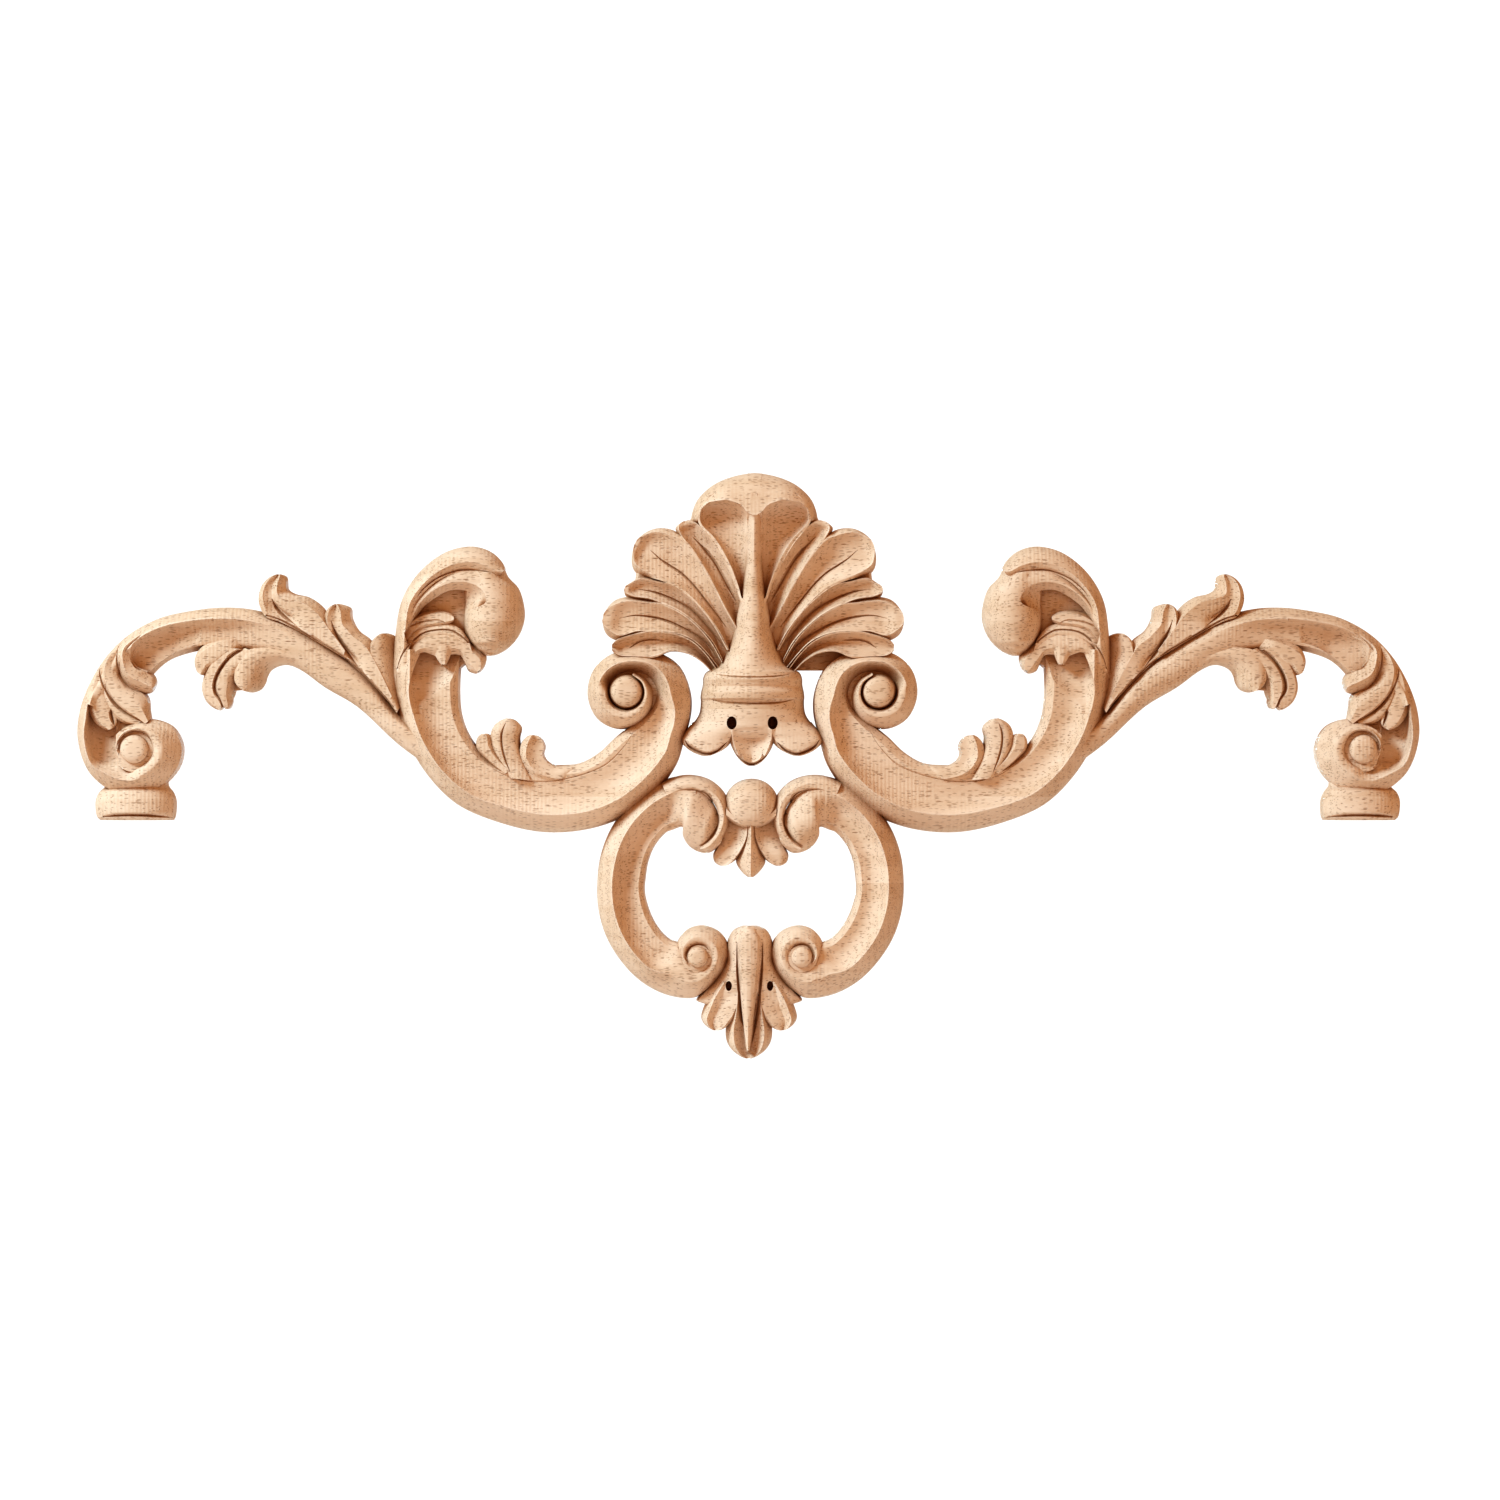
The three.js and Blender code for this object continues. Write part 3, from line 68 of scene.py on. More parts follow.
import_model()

NODE = "headpiece"
MERGE = 1e-6            # metres; points closer than this are one point
SPARE = 2               # every body runs this far behind the back before it is planed
SCORE_FLOOR = 6         # fine cuts never run lower than this over the back
SCORE_START = 0.15      # share of its size with which a fine cut starts
SCORE_RISE = 3.5        # how fast it then gets its full size
SCORE_NEAR = 2          # neighbours on each side that smooth the level of a fine cut
TIP_MOST = 0.3          # share of the last span that the slope of a tip may take
DOME_STEPS = 4          # steps from one point of a boss's profile to the next
DOME_TOP = 0.02         # share of the radius inside which a boss is closed
BACK_GRID = (110, 70)   # fields along and up the planed back
BACK_SPAN = (1.2, 0.7)  # shares of the length that it covers along and up
FEWEST_FACES = 1000     # a carving with fewer wasn't joined
DRAWN_LENGTH = 672      # the plan below is drawn for this length
DRAWN_THICKNESS = 28    # and the sections for this thickness
LEVEL = -55             # height at which both halves are alike
SHORT_FROM = 125        # distance from the centre line at which the right arm gets shorter
BLEND = 20              # half the width of the zone between the halves
SOFT_TURN = 38          # degrees; a section that turns less than this runs on smoothly
SHARP_TURN = 62         # degrees; one that turns more has an arris or a groove there


# Sizes and finish

class HeadpieceSizes(bpy.types.PropertyGroup):
    """Sizes of the carving."""

    length: bpy.props.FloatProperty(
        name="Length", description="Over the outer edges of the two arms",
        default=0.672, min=0.3, max=1.2, subtype="DISTANCE", unit="LENGTH")
    thickness: bpy.props.FloatProperty(
        name="Thickness", description="From the flat back to the crown of the shell",
        default=0.028, min=0.01, max=0.06, subtype="DISTANCE", unit="LENGTH")
    tip_lean: bpy.props.FloatProperty(
        name="Tip lean", description="How far a carved tip slopes back towards the back, in millimetres",
        default=1.6, min=0.2, max=4)
    draft: bpy.props.FloatProperty(
        name="Draft", description="How much farther out a wall stands than its drawn edge, in millimetres",
        default=0.6, min=0, max=2)
    right_lean: bpy.props.FloatProperty(
        name="Right lean", description="How far the right half moves right for each unit of height",
        default=0.021, min=-0.1, max=0.1)
    arm_shorter: bpy.props.FloatProperty(
        name="Shorter arm", description="Share by which the right arm is shorter than the left one",
        default=0.0175, min=-0.1, max=0.1)
    rung_steps: bpy.props.IntProperty(
        name="Steps along", description="Steps from one rung of a carved form to the next",
        default=5, min=1, max=10)
    section_steps: bpy.props.IntProperty(
        name="Steps across", description="Steps from one point of a section to the next",
        default=3, min=1, max=6)
    round_steps: bpy.props.IntProperty(
        name="Steps round", description="Steps round a turned form",
        default=48, min=12, max=96)
    score_steps: bpy.props.IntProperty(
        name="Steps of a cut", description="Steps from one point of a fine cut to the next",
        default=8, min=2, max=20)
    crisp_angle: bpy.props.FloatProperty(
        name="Crisp angle", description="Faces that meet at a wider angle keep a crisp arris",
        default=math.radians(32), min=0, max=math.pi, subtype="ANGLE", unit="ROTATION")


class WoodFinish(bpy.types.PropertyGroup):
    """Colours and figure of the wood, with the colour of the painted shade in its hollows and of its paler
    arrises, partly painted highlight.
    """

    pale: bpy.props.FloatVectorProperty(
        name="Pale wood", description="Colour of the palest wood",
        default=(0.9, 0.675, 0.5), size=3, min=0, max=1, subtype="COLOR")
    warm: bpy.props.FloatVectorProperty(
        name="Warm wood", description="Colour of the deeper streaks",
        default=(0.68, 0.43, 0.255), size=3, min=0, max=1, subtype="COLOR")
    # paler arrises: partly worn wood and partly painted highlight
    rubbed_and_highlit: bpy.props.FloatVectorProperty(
        name="Rubbed wood", description="Colour of the arrises",
        default=(0.95, 0.76, 0.6), size=3, min=0, max=1, subtype="COLOR")
    # painted shade: the colour that the hollows are darkened towards
    deep: bpy.props.FloatVectorProperty(
        name="Deep wood", description="Colour of the deepest hollows",
        default=(0.34, 0.12, 0.02), size=3, min=0, max=1, subtype="COLOR")
    pore: bpy.props.FloatVectorProperty(
        name="Pores", description="Colour of the open pores",
        default=(0.27, 0.1, 0.035), size=3, min=0, max=1, subtype="COLOR")
    # reach of the painted shade in the hollows
    painted_shade_reach: bpy.props.FloatProperty(
        name="Hollow reach", description="How near the walls of a hollow darken it",
        default=0.011, min=0.001, max=0.05, subtype="DISTANCE", unit="LENGTH")
    arris_reach: bpy.props.FloatProperty(
        name="Arris reach", description="How wide an arris is rubbed",
        default=0.0016, min=0.0002, max=0.01, subtype="DISTANCE", unit="LENGTH")
    lath_height: bpy.props.FloatProperty(
        name="Lath height", description="Height of one lath in the glued blank",
        default=0.0435, min=0.01, max=0.2, subtype="DISTANCE", unit="LENGTH")
    seam_level: bpy.props.FloatProperty(
        name="Seam level", description="Height of one glue seam",
        default=0.099, min=-0.2, max=0.3, subtype="DISTANCE", unit="LENGTH")
    tool_pitch: bpy.props.FloatProperty(
        name="Tool pitch", description="Distance between two tool marks",
        default=0.0019, min=0.0005, max=0.005, subtype="DISTANCE", unit="LENGTH")
    roughness: bpy.props.FloatProperty(
        name="Roughness", description="Roughness of the sanded face",
        default=0.62, min=0, max=1, subtype="FACTOR")


class StudioSettings(bpy.types.PropertyGroup):
    """Camera, lights and floor."""

    camera_distance: bpy.props.FloatProperty(
        name="Camera distance", description="From the camera to the front of the carving",
        default=4, min=1, max=20, subtype="DISTANCE", unit="LENGTH")
    picture_width: bpy.props.FloatProperty(
        name="Picture width", description="Width that the picture shows at the carving",
        default=0.75, min=0.2, max=3, subtype="DISTANCE", unit="LENGTH")
    picture_level: bpy.props.FloatProperty(
        name="Picture level", description="Height of the middle of the picture",
        default=0.035, min=-0.5, max=0.5, subtype="DISTANCE", unit="LENGTH")
    floor_level: bpy.props.FloatProperty(
        name="Floor level", description="Height of the floor below the carving",
        default=-0.55, min=-3, max=0, subtype="DISTANCE", unit="LENGTH")
    key_power: bpy.props.FloatProperty(
        name="Key light", description="Power of the light from the upper left",
        default=60, min=0, max=1000, unit="POWER")
    back_power: bpy.props.FloatProperty(
        name="Back light", description="Power of the light that falls on the flat back",
        default=85, min=0, max=1000, unit="POWER")
    key_colour: bpy.props.FloatVectorProperty(
        name="Key colour", description="Colour of both lights",
        default=(0.53, 0.82, 1), size=3, min=0, max=1, subtype="COLOR")
    behind_colour: bpy.props.FloatVectorProperty(
        name="Colour behind", description="Colour of the light from all around behind the carving",
        default=(0.92, 0.86, 0.78), size=3, min=0, max=1, subtype="COLOR")
    surround: bpy.props.FloatProperty(
        name="Surround", description="Strength of the light from all around",
        default=0.52, min=0, max=5)
    surround_colour: bpy.props.FloatVectorProperty(
        name="Surround colour", description="Colour of the light from all around",
        default=(1, 0.54, 0.24), size=3, min=0, max=1, subtype="COLOR")


# Carved bodies

def select_only(body):
    bpy.ops.object.select_all(action="DESELECT")
    body.select_set(True)
    bpy.context.view_layer.objects.active = body


def carved(x, z, height):
    """A point of the carving, x and z in the plan and height over the back."""
    sizes = bpy.context.scene.headpiece_sizes
    plan = sizes.length / DRAWN_LENGTH
    relief = sizes.thickness / DRAWN_THICKNESS
    return (plan * x, -relief * height, plan * z)


def face_outwards(body):
    """Turns all faces of a closed body outwards, in edit mode."""
    bpy.ops.mesh.select_all(action="SELECT")
    bpy.ops.mesh.normals_make_consistent(inside=False)
    if bmesh.from_edit_mesh(body.data).calc_volume(signed=True) < 0:
        bpy.ops.mesh.flip_normals()


def closed_body(rows, open_back=True):
    """Bends a grid to rows of points and closes it in the plane behind the back."""
    bpy.ops.object.select_all(action="DESELECT")
    bpy.ops.mesh.primitive_grid_add(
        x_subdivisions=len(rows[0]) - 1, y_subdivisions=len(rows) - 1, size=1)
    body = bpy.context.object
    body.data.vertices.foreach_set("co", [value for row in rows for point in row for value in point])
    bpy.ops.object.mode_set(mode="EDIT")
    bpy.ops.mesh.select_all(action="SELECT")
    bpy.ops.mesh.remove_doubles(threshold=MERGE)
    if open_back:
        bpy.ops.mesh.select_all(action="DESELECT")
        bpy.ops.mesh.select_non_manifold()
        bpy.ops.mesh.edge_face_add()
    face_outwards(body)
    bpy.ops.object.mode_set(mode="OBJECT")
    return body


def ease(share):
    return share * share * (3 - 2 * share)


def section_at(keys, place):
    """Blends the sections on both sides of a place along a strip."""
    before = [key for key in keys if key[0] <= place] or keys[:1]
    after = [key for key in keys if key[0] >= place] or keys[-1:]
    start, first = before[-1]
    end, second = after[0]
    share = ease((place - start) / (end - start)) if end > start else 0
    return [[u + share * (v - u), h + share * (k - h)] for (u, h), (v, k) in zip(first, second)]


def turn_between(before, here, after, width):
    """Degrees by which a section turns at a point."""
    first = math.atan2(here[1] - before[1], (here[0] - before[0]) * width)
    second = math.atan2(after[1] - here[1], (after[0] - here[0]) * width)
    return abs(math.degrees(second - first))


def slopes(points, width):
    """Tangents on both sides of each point: alike where it runs on, apart at an arris."""
    last = len(points) - 1
    found = []
    for i, here in enumerate(points):
        before, after = points[max(i - 1, 0)], points[min(i + 1, last)]
        into = [here[0] - before[0], here[1] - before[1]]
        out = [after[0] - here[0], after[1] - here[1]]
        if 0 < i < last:
            turn = turn_between(before, here, after, width)
            smooth = 1 - ease(min(1, max(0, (turn - SOFT_TURN) / (SHARP_TURN - SOFT_TURN))))
            middle = [(a + b) / 2 for a, b in zip(into, out)]
            into = [a + smooth * (m - a) for a, m in zip(into, middle)]
            out = [b + smooth * (m - b) for b, m in zip(out, middle)]
        found.append((into, out))
    return found


def refined(points, width, steps):
    """A section with more points on the curve through its own ones."""
    tangents = slopes(points, width)
    fine = [points[0]]
    for i in range(len(points) - 1):
        p, q = points[i], points[i + 1]
        out, into = tangents[i][1], tangents[i + 1][0]
        for k in range(1, steps + 1):
            t = k / steps
            a = 2 * t**3 - 3 * t**2 + 1
            b = t**3 - 2 * t**2 + t
            c = 3 * t**2 - 2 * t**3
            d = t**3 - t**2
            fine.append([a * p[j] + b * out[j] + c * q[j] + d * into[j] for j in (0, 1)])
    return fine


class EdgeCurve:
    """A smooth curve through the points of one edge, even where they lie unevenly."""

    def __init__(self, points):
        self.points = [Vector(point) for point in points]
        first, last = self.points[0], self.points[-1]
        self.points.insert(0, 2 * first - self.points[1])
        self.points.append(2 * last - self.points[-2])
        self.spans = len(points) - 1

    def at(self, place):
        """The point at a place from 0 to the number of spans."""
        span = min(int(place), self.spans - 1)
        share = place - span
        p0, p1, p2, p3 = self.points[span:span + 4]
        d0, d1, d2 = (max((b - a).length, 1e-4) ** 0.5 for a, b in ((p0, p1), (p1, p2), (p2, p3)))
        m1 = ((p1 - p0) / d0 - (p2 - p0) / (d0 + d1) + (p2 - p1) / d1) * d1
        m2 = ((p2 - p1) / d1 - (p3 - p1) / (d1 + d2) + (p3 - p2) / d2) * d1
        t, tt, ttt = share, share**2, share**3
        return ((2 * ttt - 3 * tt + 1) * p1 + (ttt - 2 * tt + t) * m1
                + (3 * tt - 2 * ttt) * p2 + (ttt - tt) * m2)

    def from_end(self, place):
        return self.at(self.spans - place)


def strip(rungs, start=0, stop=None, base=-SPARE, draft=None):
    """A carved form between two edges. A rung is [x, z, x, z, section]: a point of each edge
    and the section between them. One without a section takes the blend of its neighbours, and
    a last rung of one point is a tip. It can be built over some of its rungs only; its walls
    reach to the base level."""
    sizes = bpy.context.scene.headpiece_sizes
    steps = sizes.rung_steps
    draft = sizes.draft if draft is None else draft
    last = len(rungs) - 1
    stop = last if stop is None else stop
    tip = rungs[-1] if len(rungs[-1]) == 2 else None
    one = [rung[:2] for rung in rungs]
    other = [rung[2:4] for rung in rungs if len(rung) > 2]
    if tip:
        edge = EdgeCurve(one + other[::-1])
        left, right = edge.at, edge.from_end
    else:
        left, right = EdgeCurve(one).at, EdgeCurve(other).at
    keys = [(i, rung[4]) for i, rung in enumerate(rungs) if len(rung) > 4]
    stops = [start + i / steps for i in range((stop - start) * steps + 1)]
    if tip:
        reach = ((left(last - 1) + right(last - 1)) / 2 - Vector(tip)).length
        stops[-1] = last - min(TIP_MOST, sizes.tip_lean / reach)
    rows = []
    for place in stops:
        p, q = left(place), right(place)
        outwards = (p - q).normalized() * draft
        p, q = p + outwards, q - outwards
        section = refined(section_at(keys, place), (p - q).length, sizes.section_steps)
        across = [carved(*p.lerp(q, u), h) for u, h in section]
        rows.append([carved(*p, base), *across, carved(*q, base)])
    behind = carved(0, 0, base)[1]
    first, end = ([(x, behind, z) for x, y, z in rows[i]] for i in (0, -1))
    if tip:
        end = [carved(*tip, base)] * len(end)
    return closed_body([first, *rows, end])


def wound(rungs, cuts):
    """A strip that winds over itself, in spans that end at the given rungs."""
    ends = [0, *cuts, len(rungs) - 1]
    return [strip(rungs, start, stop) for start, stop in zip(ends, ends[1:])]


def turns(centre, items):
    """Rungs round the eye of a volute: [angle from the right, outer radius, inner radius, section]."""
    def at(degrees, radius):
        angle = math.radians(degrees)
        return centre[0] + radius * math.cos(angle), centre[1] + radius * math.sin(angle)

    return [[*at(degrees, outer), *at(degrees, inner), *section]
            for degrees, outer, inner, *section in items]


def gouge(rungs):
    """A cutter for a hollow: the sections give its floor, their ends lie in the edge."""
    return strip(rungs, base=DRAWN_THICKNESS + SPARE, draft=0)


def turned(centre, radii, profile, open_back):
    """A form turned round an axis that points out of the carving."""
    sides = bpy.context.scene.headpiece_sizes.round_steps
    rows = []
    for k in range(sides + 1):
        angle = 2 * math.pi * (k % sides) / sides
        rows.append([
            carved(centre[0] + radii[0] * r * math.cos(angle),
                   centre[1] + radii[1] * r * math.sin(angle), h)
            for r, h in profile])
    return closed_body(rows, open_back)


def dome(centre, radii, profile):
    """A boss in the carving; profile is [share of the radius, height over the back]."""
    mirrored = [[-r, h] for r, h in reversed(profile)]
    whole = refined([*profile, *mirrored], 2 * max(radii), DOME_STEPS)
    middle = len(whole) // 2
    half = [point for point in whole[:middle + 1] if point[0] > DOME_TOP]
    return turned(centre, radii, [[1, -SPARE], *half, [0, whole[middle][1]]], True)


# Plan and sections of each carved form. A section is a list of [share of the width, height].

def raised(section, by):
    return [[u, h + by] for u, h in section]


def scaled(section, share):
    return [[u, share * h] for u, h in section]


def even(z, half_width, *section):
    return [-half_width, z, half_width, z, *section]


SCROLL = [[.05, 12.5], [.27, 22.5], [.4, 16.5], [.6, 14], [.86, 15.5], [.97, 12]]
SCROLL_TURN = [[.05, 12.5], [.34, 22.3], [.47, 17.5], [.65, 15], [.88, 15], [.98, 12]]
VOLUTE_IN = [[.05, 12.5], [.6, 22], [.69, 20], [.79, 17], [.9, 14.5], [.99, 12]]
VOLUTE_TOP = [[.07, 12.5], [.54, 21.6], [.63, 20], [.75, 16.5], [.9, 13.5], [.98, 12]]
VOLUTE_RIM = [[.08, 12.5], [.52, 21.2], [.7, 22.3], [.86, 22], [.96, 18.5], [.99, 15]]
ARCH_FLAT = [[.08, 12], [.28, 16.8], [.45, 17.5], [.62, 17.2], [.86, 15], [.95, 12.5]]
ARCH_COVE = [[.05, 12.5], [.28, 20], [.4, 16], [.55, 14.2], [.78, 14], [.87, 13.5]]
FOOT_COVE = [[.05, 12.5], [.25, 21], [.38, 15.5], [.55, 12.5], [.8, 12], [.98, 12]]
FOOT_TURN = [[.05, 12.5], [.46, 21], [.62, 17.8], [.8, 16.2], [.95, 15], [.99, 13]]
FOOT_RIM = [[.05, 12.5], [.55, 21.2], [.72, 22.2], [.86, 21.4], [.95, 18], [.99, 14]]
ARM_BARE = [[.05, 12.5], [.2, 16.5], [.32, 16.8], [.5, 13], [.8, 12], [.98, 12]]
RING = [[.06, 12], [.33, 21.5], [.46, 16], [.66, 13.3], [.87, 14.5], [.97, 11.5]]
RING_TOP = [[.06, 12], [.3, 19.5], [.5, 19.2], [.7, 18.6], [.9, 16], [.96, 12]]
RING_RIM = [[.06, 12], [.48, 20.2], [.66, 20.8], [.82, 19.8], [.95, 16.5], [.99, 13]]

ROUND_LEAF = [[.06, 13.5], [.22, 17], [.7, 17.5], [.96, 14.5]]
RIGHT_LEAF = [[.04, 15], [.2, 18], [.6, 17.5], [.92, 12.5]]
LEAF_END = [[.02, 13.5], [.06, 15], [.12, 17.2], [.4, 17.5], [.76, 17.9], [.95, 12.5]]
LEAF_HEAD = [[.05, 13.5], [.2, 17.6], [.32, 16.6], [.48, 15.8], [.66, 17.2], [.95, 12]]

EYE_SEAT = [[1, 19], [.95, 19.3], [.6, 19.5]]
EYE = [[.97, 15], [.82, 21.5], [.45, 23.6]]
BOSS_EDGE = 11.5

# The S-scroll: from the crest down, along the bottom and up into the shell volute

SHELL_EYE = [-61.5, 64]


def s_scroll():
    return [
        *wound([
            [-178, 85, -144, 85, SCROLL], [-177.5, 65, -145.25, 65], [-175.5, 52.5, -144, 51.5],
            [-170, 37.5, -139, 40], [-160, 21.5, -130, 30.5], [-146, 8, -118, 26, SCROLL],
            [-125, -1, -106, 26.5], [-102.5, -5.75, -97, 27], [-80, -4, -85, 28], [-62, 2.5, -75, 33.5],
            [-47.5, 13.5, -67, 41], [-37, 28, -58, 48, SCROLL],
            *turns(SHELL_EYE, [
                [-40, 37, 15.25, SCROLL_TURN], [-17, 33.3, 15.5], [1, 31.25, 15.75, VOLUTE_IN],
                [26, 28.85, 14.5], [50, 25, 12.75], [80, 21, 10.75, VOLUTE_TOP], [113, 20, 10],
                [147, 19.6, 9.85, VOLUTE_TOP], [184, 19.3, 9.65, VOLUTE_RIM], [221, 19.5, 9.5],
                [254, 18.7, 9.4], [285, 17.1, 9.3], [320, 15, 9.2], [355, 13, 9.15], [390, 11.25, 9.15],
                [430, 10.15, 9.15, VOLUTE_RIM],
            ]),
        ], [17, 22]),
        dome(SHELL_EYE, [17, 17], [[1, BOSS_EDGE]]),
        dome(SHELL_EYE, [9, 9], EYE),
    ]


# The arched arm: from the S-scroll up over the arch and down into the foot volute

FOOT_EYE = [-306.35, 35.5]


def arm():
    return [
        *wound([
            [-159, 42.5, -159, 26, ARCH_FLAT], [-175, 53, -176, 38.5], [-187.5, 68.5, -196, 57],
            [-202.5, 82, -212, 66.5], [-219, 92.5, -225.5, 76, ARCH_FLAT], [-235, 101, -240, 81],
            [-250, 105, -255, 85], [-265, 105.75, -269, 85.5, ARCH_COVE], [-280, 104, -281, 83.5],
            [-295, 100.5, -291, 79.5], [-310, 92.5, -299, 72, ARCH_COVE], [-321, 82, -304, 64, ARM_BARE],
            [-329, 69.5, -309, 56, ARM_BARE], [-334, 57, -314, 49, FOOT_COVE],
            *turns(FOOT_EYE, [
                [162, 30.9, 11.25, FOOT_COVE], [177, 28.55, 10.5], [194, 26.9, 10, FOOT_COVE],
                [212, 25.7, 9.5], [238, 24, 9, FOOT_TURN], [268, 22.5, 8.65], [300, 22.25, 8.5, FOOT_RIM],
                [335, 23, 8.5], [362, 23.25, 8.5], [388, 21.4, 8.5], [407, 18.5, 8.5], [427, 15.75, 8.5],
                [452, 13.15, 8.5], [482, 11.65, 8.5], [512, 10.6, 8.5], [545, 9.5, 8.5, FOOT_RIM],
            ]),
        ], [19, 24]),
        dome(FOOT_EYE, [15, 15], [[1, BOSS_EDGE]]),
        dome(FOOT_EYE, [11.5, 11.5], EYE_SEAT),
        dome(FOOT_EYE, [8.25, 8.25], EYE),
    ]


# The foot: a cushion block with a flat underside

FOOT = [[.03, 9], [.2, 16], [.5, 19], [.8, 16], [.97, 9]]


def foot():
    return strip([
        [-324.5, 0, -288.25, 0, scaled(FOOT, .78)], [-326, 1.5, -287.5, 1.5, scaled(FOOT, .92)],
        [-326.75, 4.5, -287, 4.5, FOOT], [-326.75, 10, -287, 10, FOOT],
        [-325, 14, -288.5, 14, scaled(FOOT, .95)], [-322, 17, -290.75, 17, scaled(FOOT, .82)],
        [-323, 21, -291, 21, scaled(FOOT, .8)],
    ])


def foot_leaves():
    return [
        strip([
            [-300, 96.5, -297, 93, [[.05, 11], [.5, 14], [.95, 12]]],
            [-308, 91.5, -304.5, 89.5, [[.05, 14.5], [.5, 18.8], [.95, 16]]],
            [-314.75, 84.5, -309, 85, [[.05, 15], [.5, 20.3], [.95, 17]]], [-314.75, 77.5, -308.75, 79.5],
            [-313, 71, -306, 75.5, [[.05, 13.5], [.45, 19.5], [.95, 17]]], [-309, 66, -301.5, 74.25],
            [-304, 63.5, -298, 72.25, [[.1, 12.5], [.5, 18.5], [.9, 13]]], [-299.5, 63.75, -296.5, 69],
            [-297.25, 65.5],
        ]),
        strip([
            [-316.5, 86, -313.5, 87.5, [[.05, 12], [.25, 14], [.6, 14], [.97, 12]]],
            [-320.75, 80.5, -314, 82, [[.05, 14.5], [.25, 18], [.6, 16.5], [.97, 13.5]]],
            [-323, 75, -314, 77.5], [-322.5, 69.5, -312.5, 71.5], [-320, 63, -308, 66.5],
            [-315.5, 57.25, -302, 63, [[.03, 14.5], [.15, 17.5], [.6, 17.5], [.94, 13]]],
            [-309.5, 52.5, -300.25, 60], [-304, 49.75, -299.75, 54.5], [-301, 48, -299, 50],
        ]),
        strip([
            [-321.5, 80, -319, 81, [[.05, 11], [.3, 13], [.7, 13], [.97, 12]]],
            [-326.5, 72, -322, 72, [[.05, 14.5], [.3, 16.5], [.7, 16], [.97, 14]]], [-329.5, 64, -321, 65],
            [-330.25, 57.5, -318, 57.5, [[.06, 14], [.25, 16.5], [.7, 16], [.95, 14.5]]],
            [-328.5, 52, -316.5, 53], [-325.5, 47.75, -315.5, 50], [-321.5, 45.5, -316, 47.5],
            [-318.5, 45.25],
        ]),
        strip([
            [-323.5, 70, -320.5, 65, [[.05, 14], [.3, 16], [.7, 16], [.97, 14.5]]],
            [-321.5, 60, -316.5, 58.5], [-317, 52, -311.5, 53.75], [-312, 48.5, -306, 50.75],
            [-306.5, 47.25, -302.5, 49.5],
        ]),
    ]


# Leaves under and over the arch

def arch_leaves():
    return [
        strip([
            [-250, 93, -250, 86, [[.06, 10], [.22, 12], [.7, 12], [.96, 11]]],
            [-263, 90.25, -258.5, 82.5, ROUND_LEAF], [-272, 87.5, -264, 76.5],
            [-275.5, 83.75, -268.5, 75.5], [-276.75, 78.5, -270.75, 73.5], [-274.25, 72.75],
        ]),
        strip([
            [-262, 86, -252.5, 85.25, [[.04, 14.5], [.2, 17], [.75, 17.5], [.98, 15]]],
            [-268.5, 79, -259.5, 80.5], [-271.75, 72, -264.25, 74.5], [-272.75, 65.5, -266.5, 68],
            [-271, 60, -266, 63.5], [-267.5, 56.5, -263.5, 59.75], [-263.5, 55.25],
        ]),
        strip([
            [-251.5, 85.75, -243, 82.5, [[.04, 15], [.2, 17.5], [.6, 17.8], [.98, 17]]],
            [-258.5, 81.25, -250, 78],
            [-263.5, 75.25, -255.75, 73.75, [[.04, 15], [.2, 17.5], [.6, 17.8], [.98, 16]]],
            [-266.25, 69, -256.5, 67.5, RIGHT_LEAF], [-266, 64.25, -257.5, 63], [-264, 60.5, -258.5, 60.5],
            [-262.25, 57, -258.75, 58], [-260.25, 55.5],
        ]),
        strip([
            [-219, 80.5, -216, 73.5, [[.05, 10], [.3, 11], [.6, 11], [.9, 10]]],
            [-229, 85, -224, 75.75, [[.05, 14], [.3, 16], [.6, 15.5], [.9, 12]]], [-240, 86, -232.5, 77.75],
            [-250, 84.5, -239, 75.25, [[.02, 17], [.25, 18.5], [.6, 17], [.88, 12]]],
            [-255, 80, -241.25, 71.75, [[.02, 17], [.25, 18.5], [.6, 17], [.88, 12]]],
            [-256.25, 74.5, -242.25, 68.5], [-256, 68.5, -245, 65], [-251, 64],
        ]),
        strip([
            [-202.5, 81.5, -201.5, 85, LEAF_END], [-214, 88, -208, 96.5],
            [-224.5, 94, -213, 105.5, LEAF_END],
            [-234, 99, -220.5, 111, [[.02, 15], [.12, 15.5], [.3, 13.6], [.4, 16.3], [.78, 17.8],
             [.95, 12.5]]],
            [-241, 101.5, -227.5, 112.75, [[.02, 15], [.12, 16.3], [.42, 14], [.5, 16], [.78, 17.6],
             [.95, 12.5]]],
            [-245, 108.5, -230.75, 115, LEAF_HEAD], [-243.75, 116.25, -231.25, 118.5],
            [-239.75, 120.75, -231.75, 121.25], [-234.5, 122.6],
        ]),
        strip([
            [-180, 59.5, -178, 62, LEAF_END], [-191, 71, -185, 80, LEAF_END],
            [-199.5, 79, -189.5, 89.5, [[.02, 15], [.12, 15.3], [.26, 13.6], [.36, 16.3], [.74, 17.8],
             [.95, 12.5]]],
            [-207, 85.5, -195.5, 94.25, [[.02, 15], [.12, 16], [.32, 13.8], [.42, 16.2], [.74, 17.6],
             [.95, 12.5]]],
            [-212, 93, -198.75, 100.5, LEAF_HEAD], [-212.75, 100, -199.5, 105.5],
            [-210, 105.75, -202.75, 107.25], [-206, 107.75],
        ]),
        strip([
            [-176, 53.5, -174, 57, [[.06, 13.5], [.16, 17.5], [.48, 16.6], [.9, 11]]],
            [-183, 63.5, -175, 65], [-189, 74, -176, 76], [-190.75, 83, -176.5, 85],
            [-188.5, 89.5, -176.75, 91], [-182.5, 93.25],
        ]),
    ]


# The crest of the S-scroll: a hood, a curled band with its ball, and small leaves

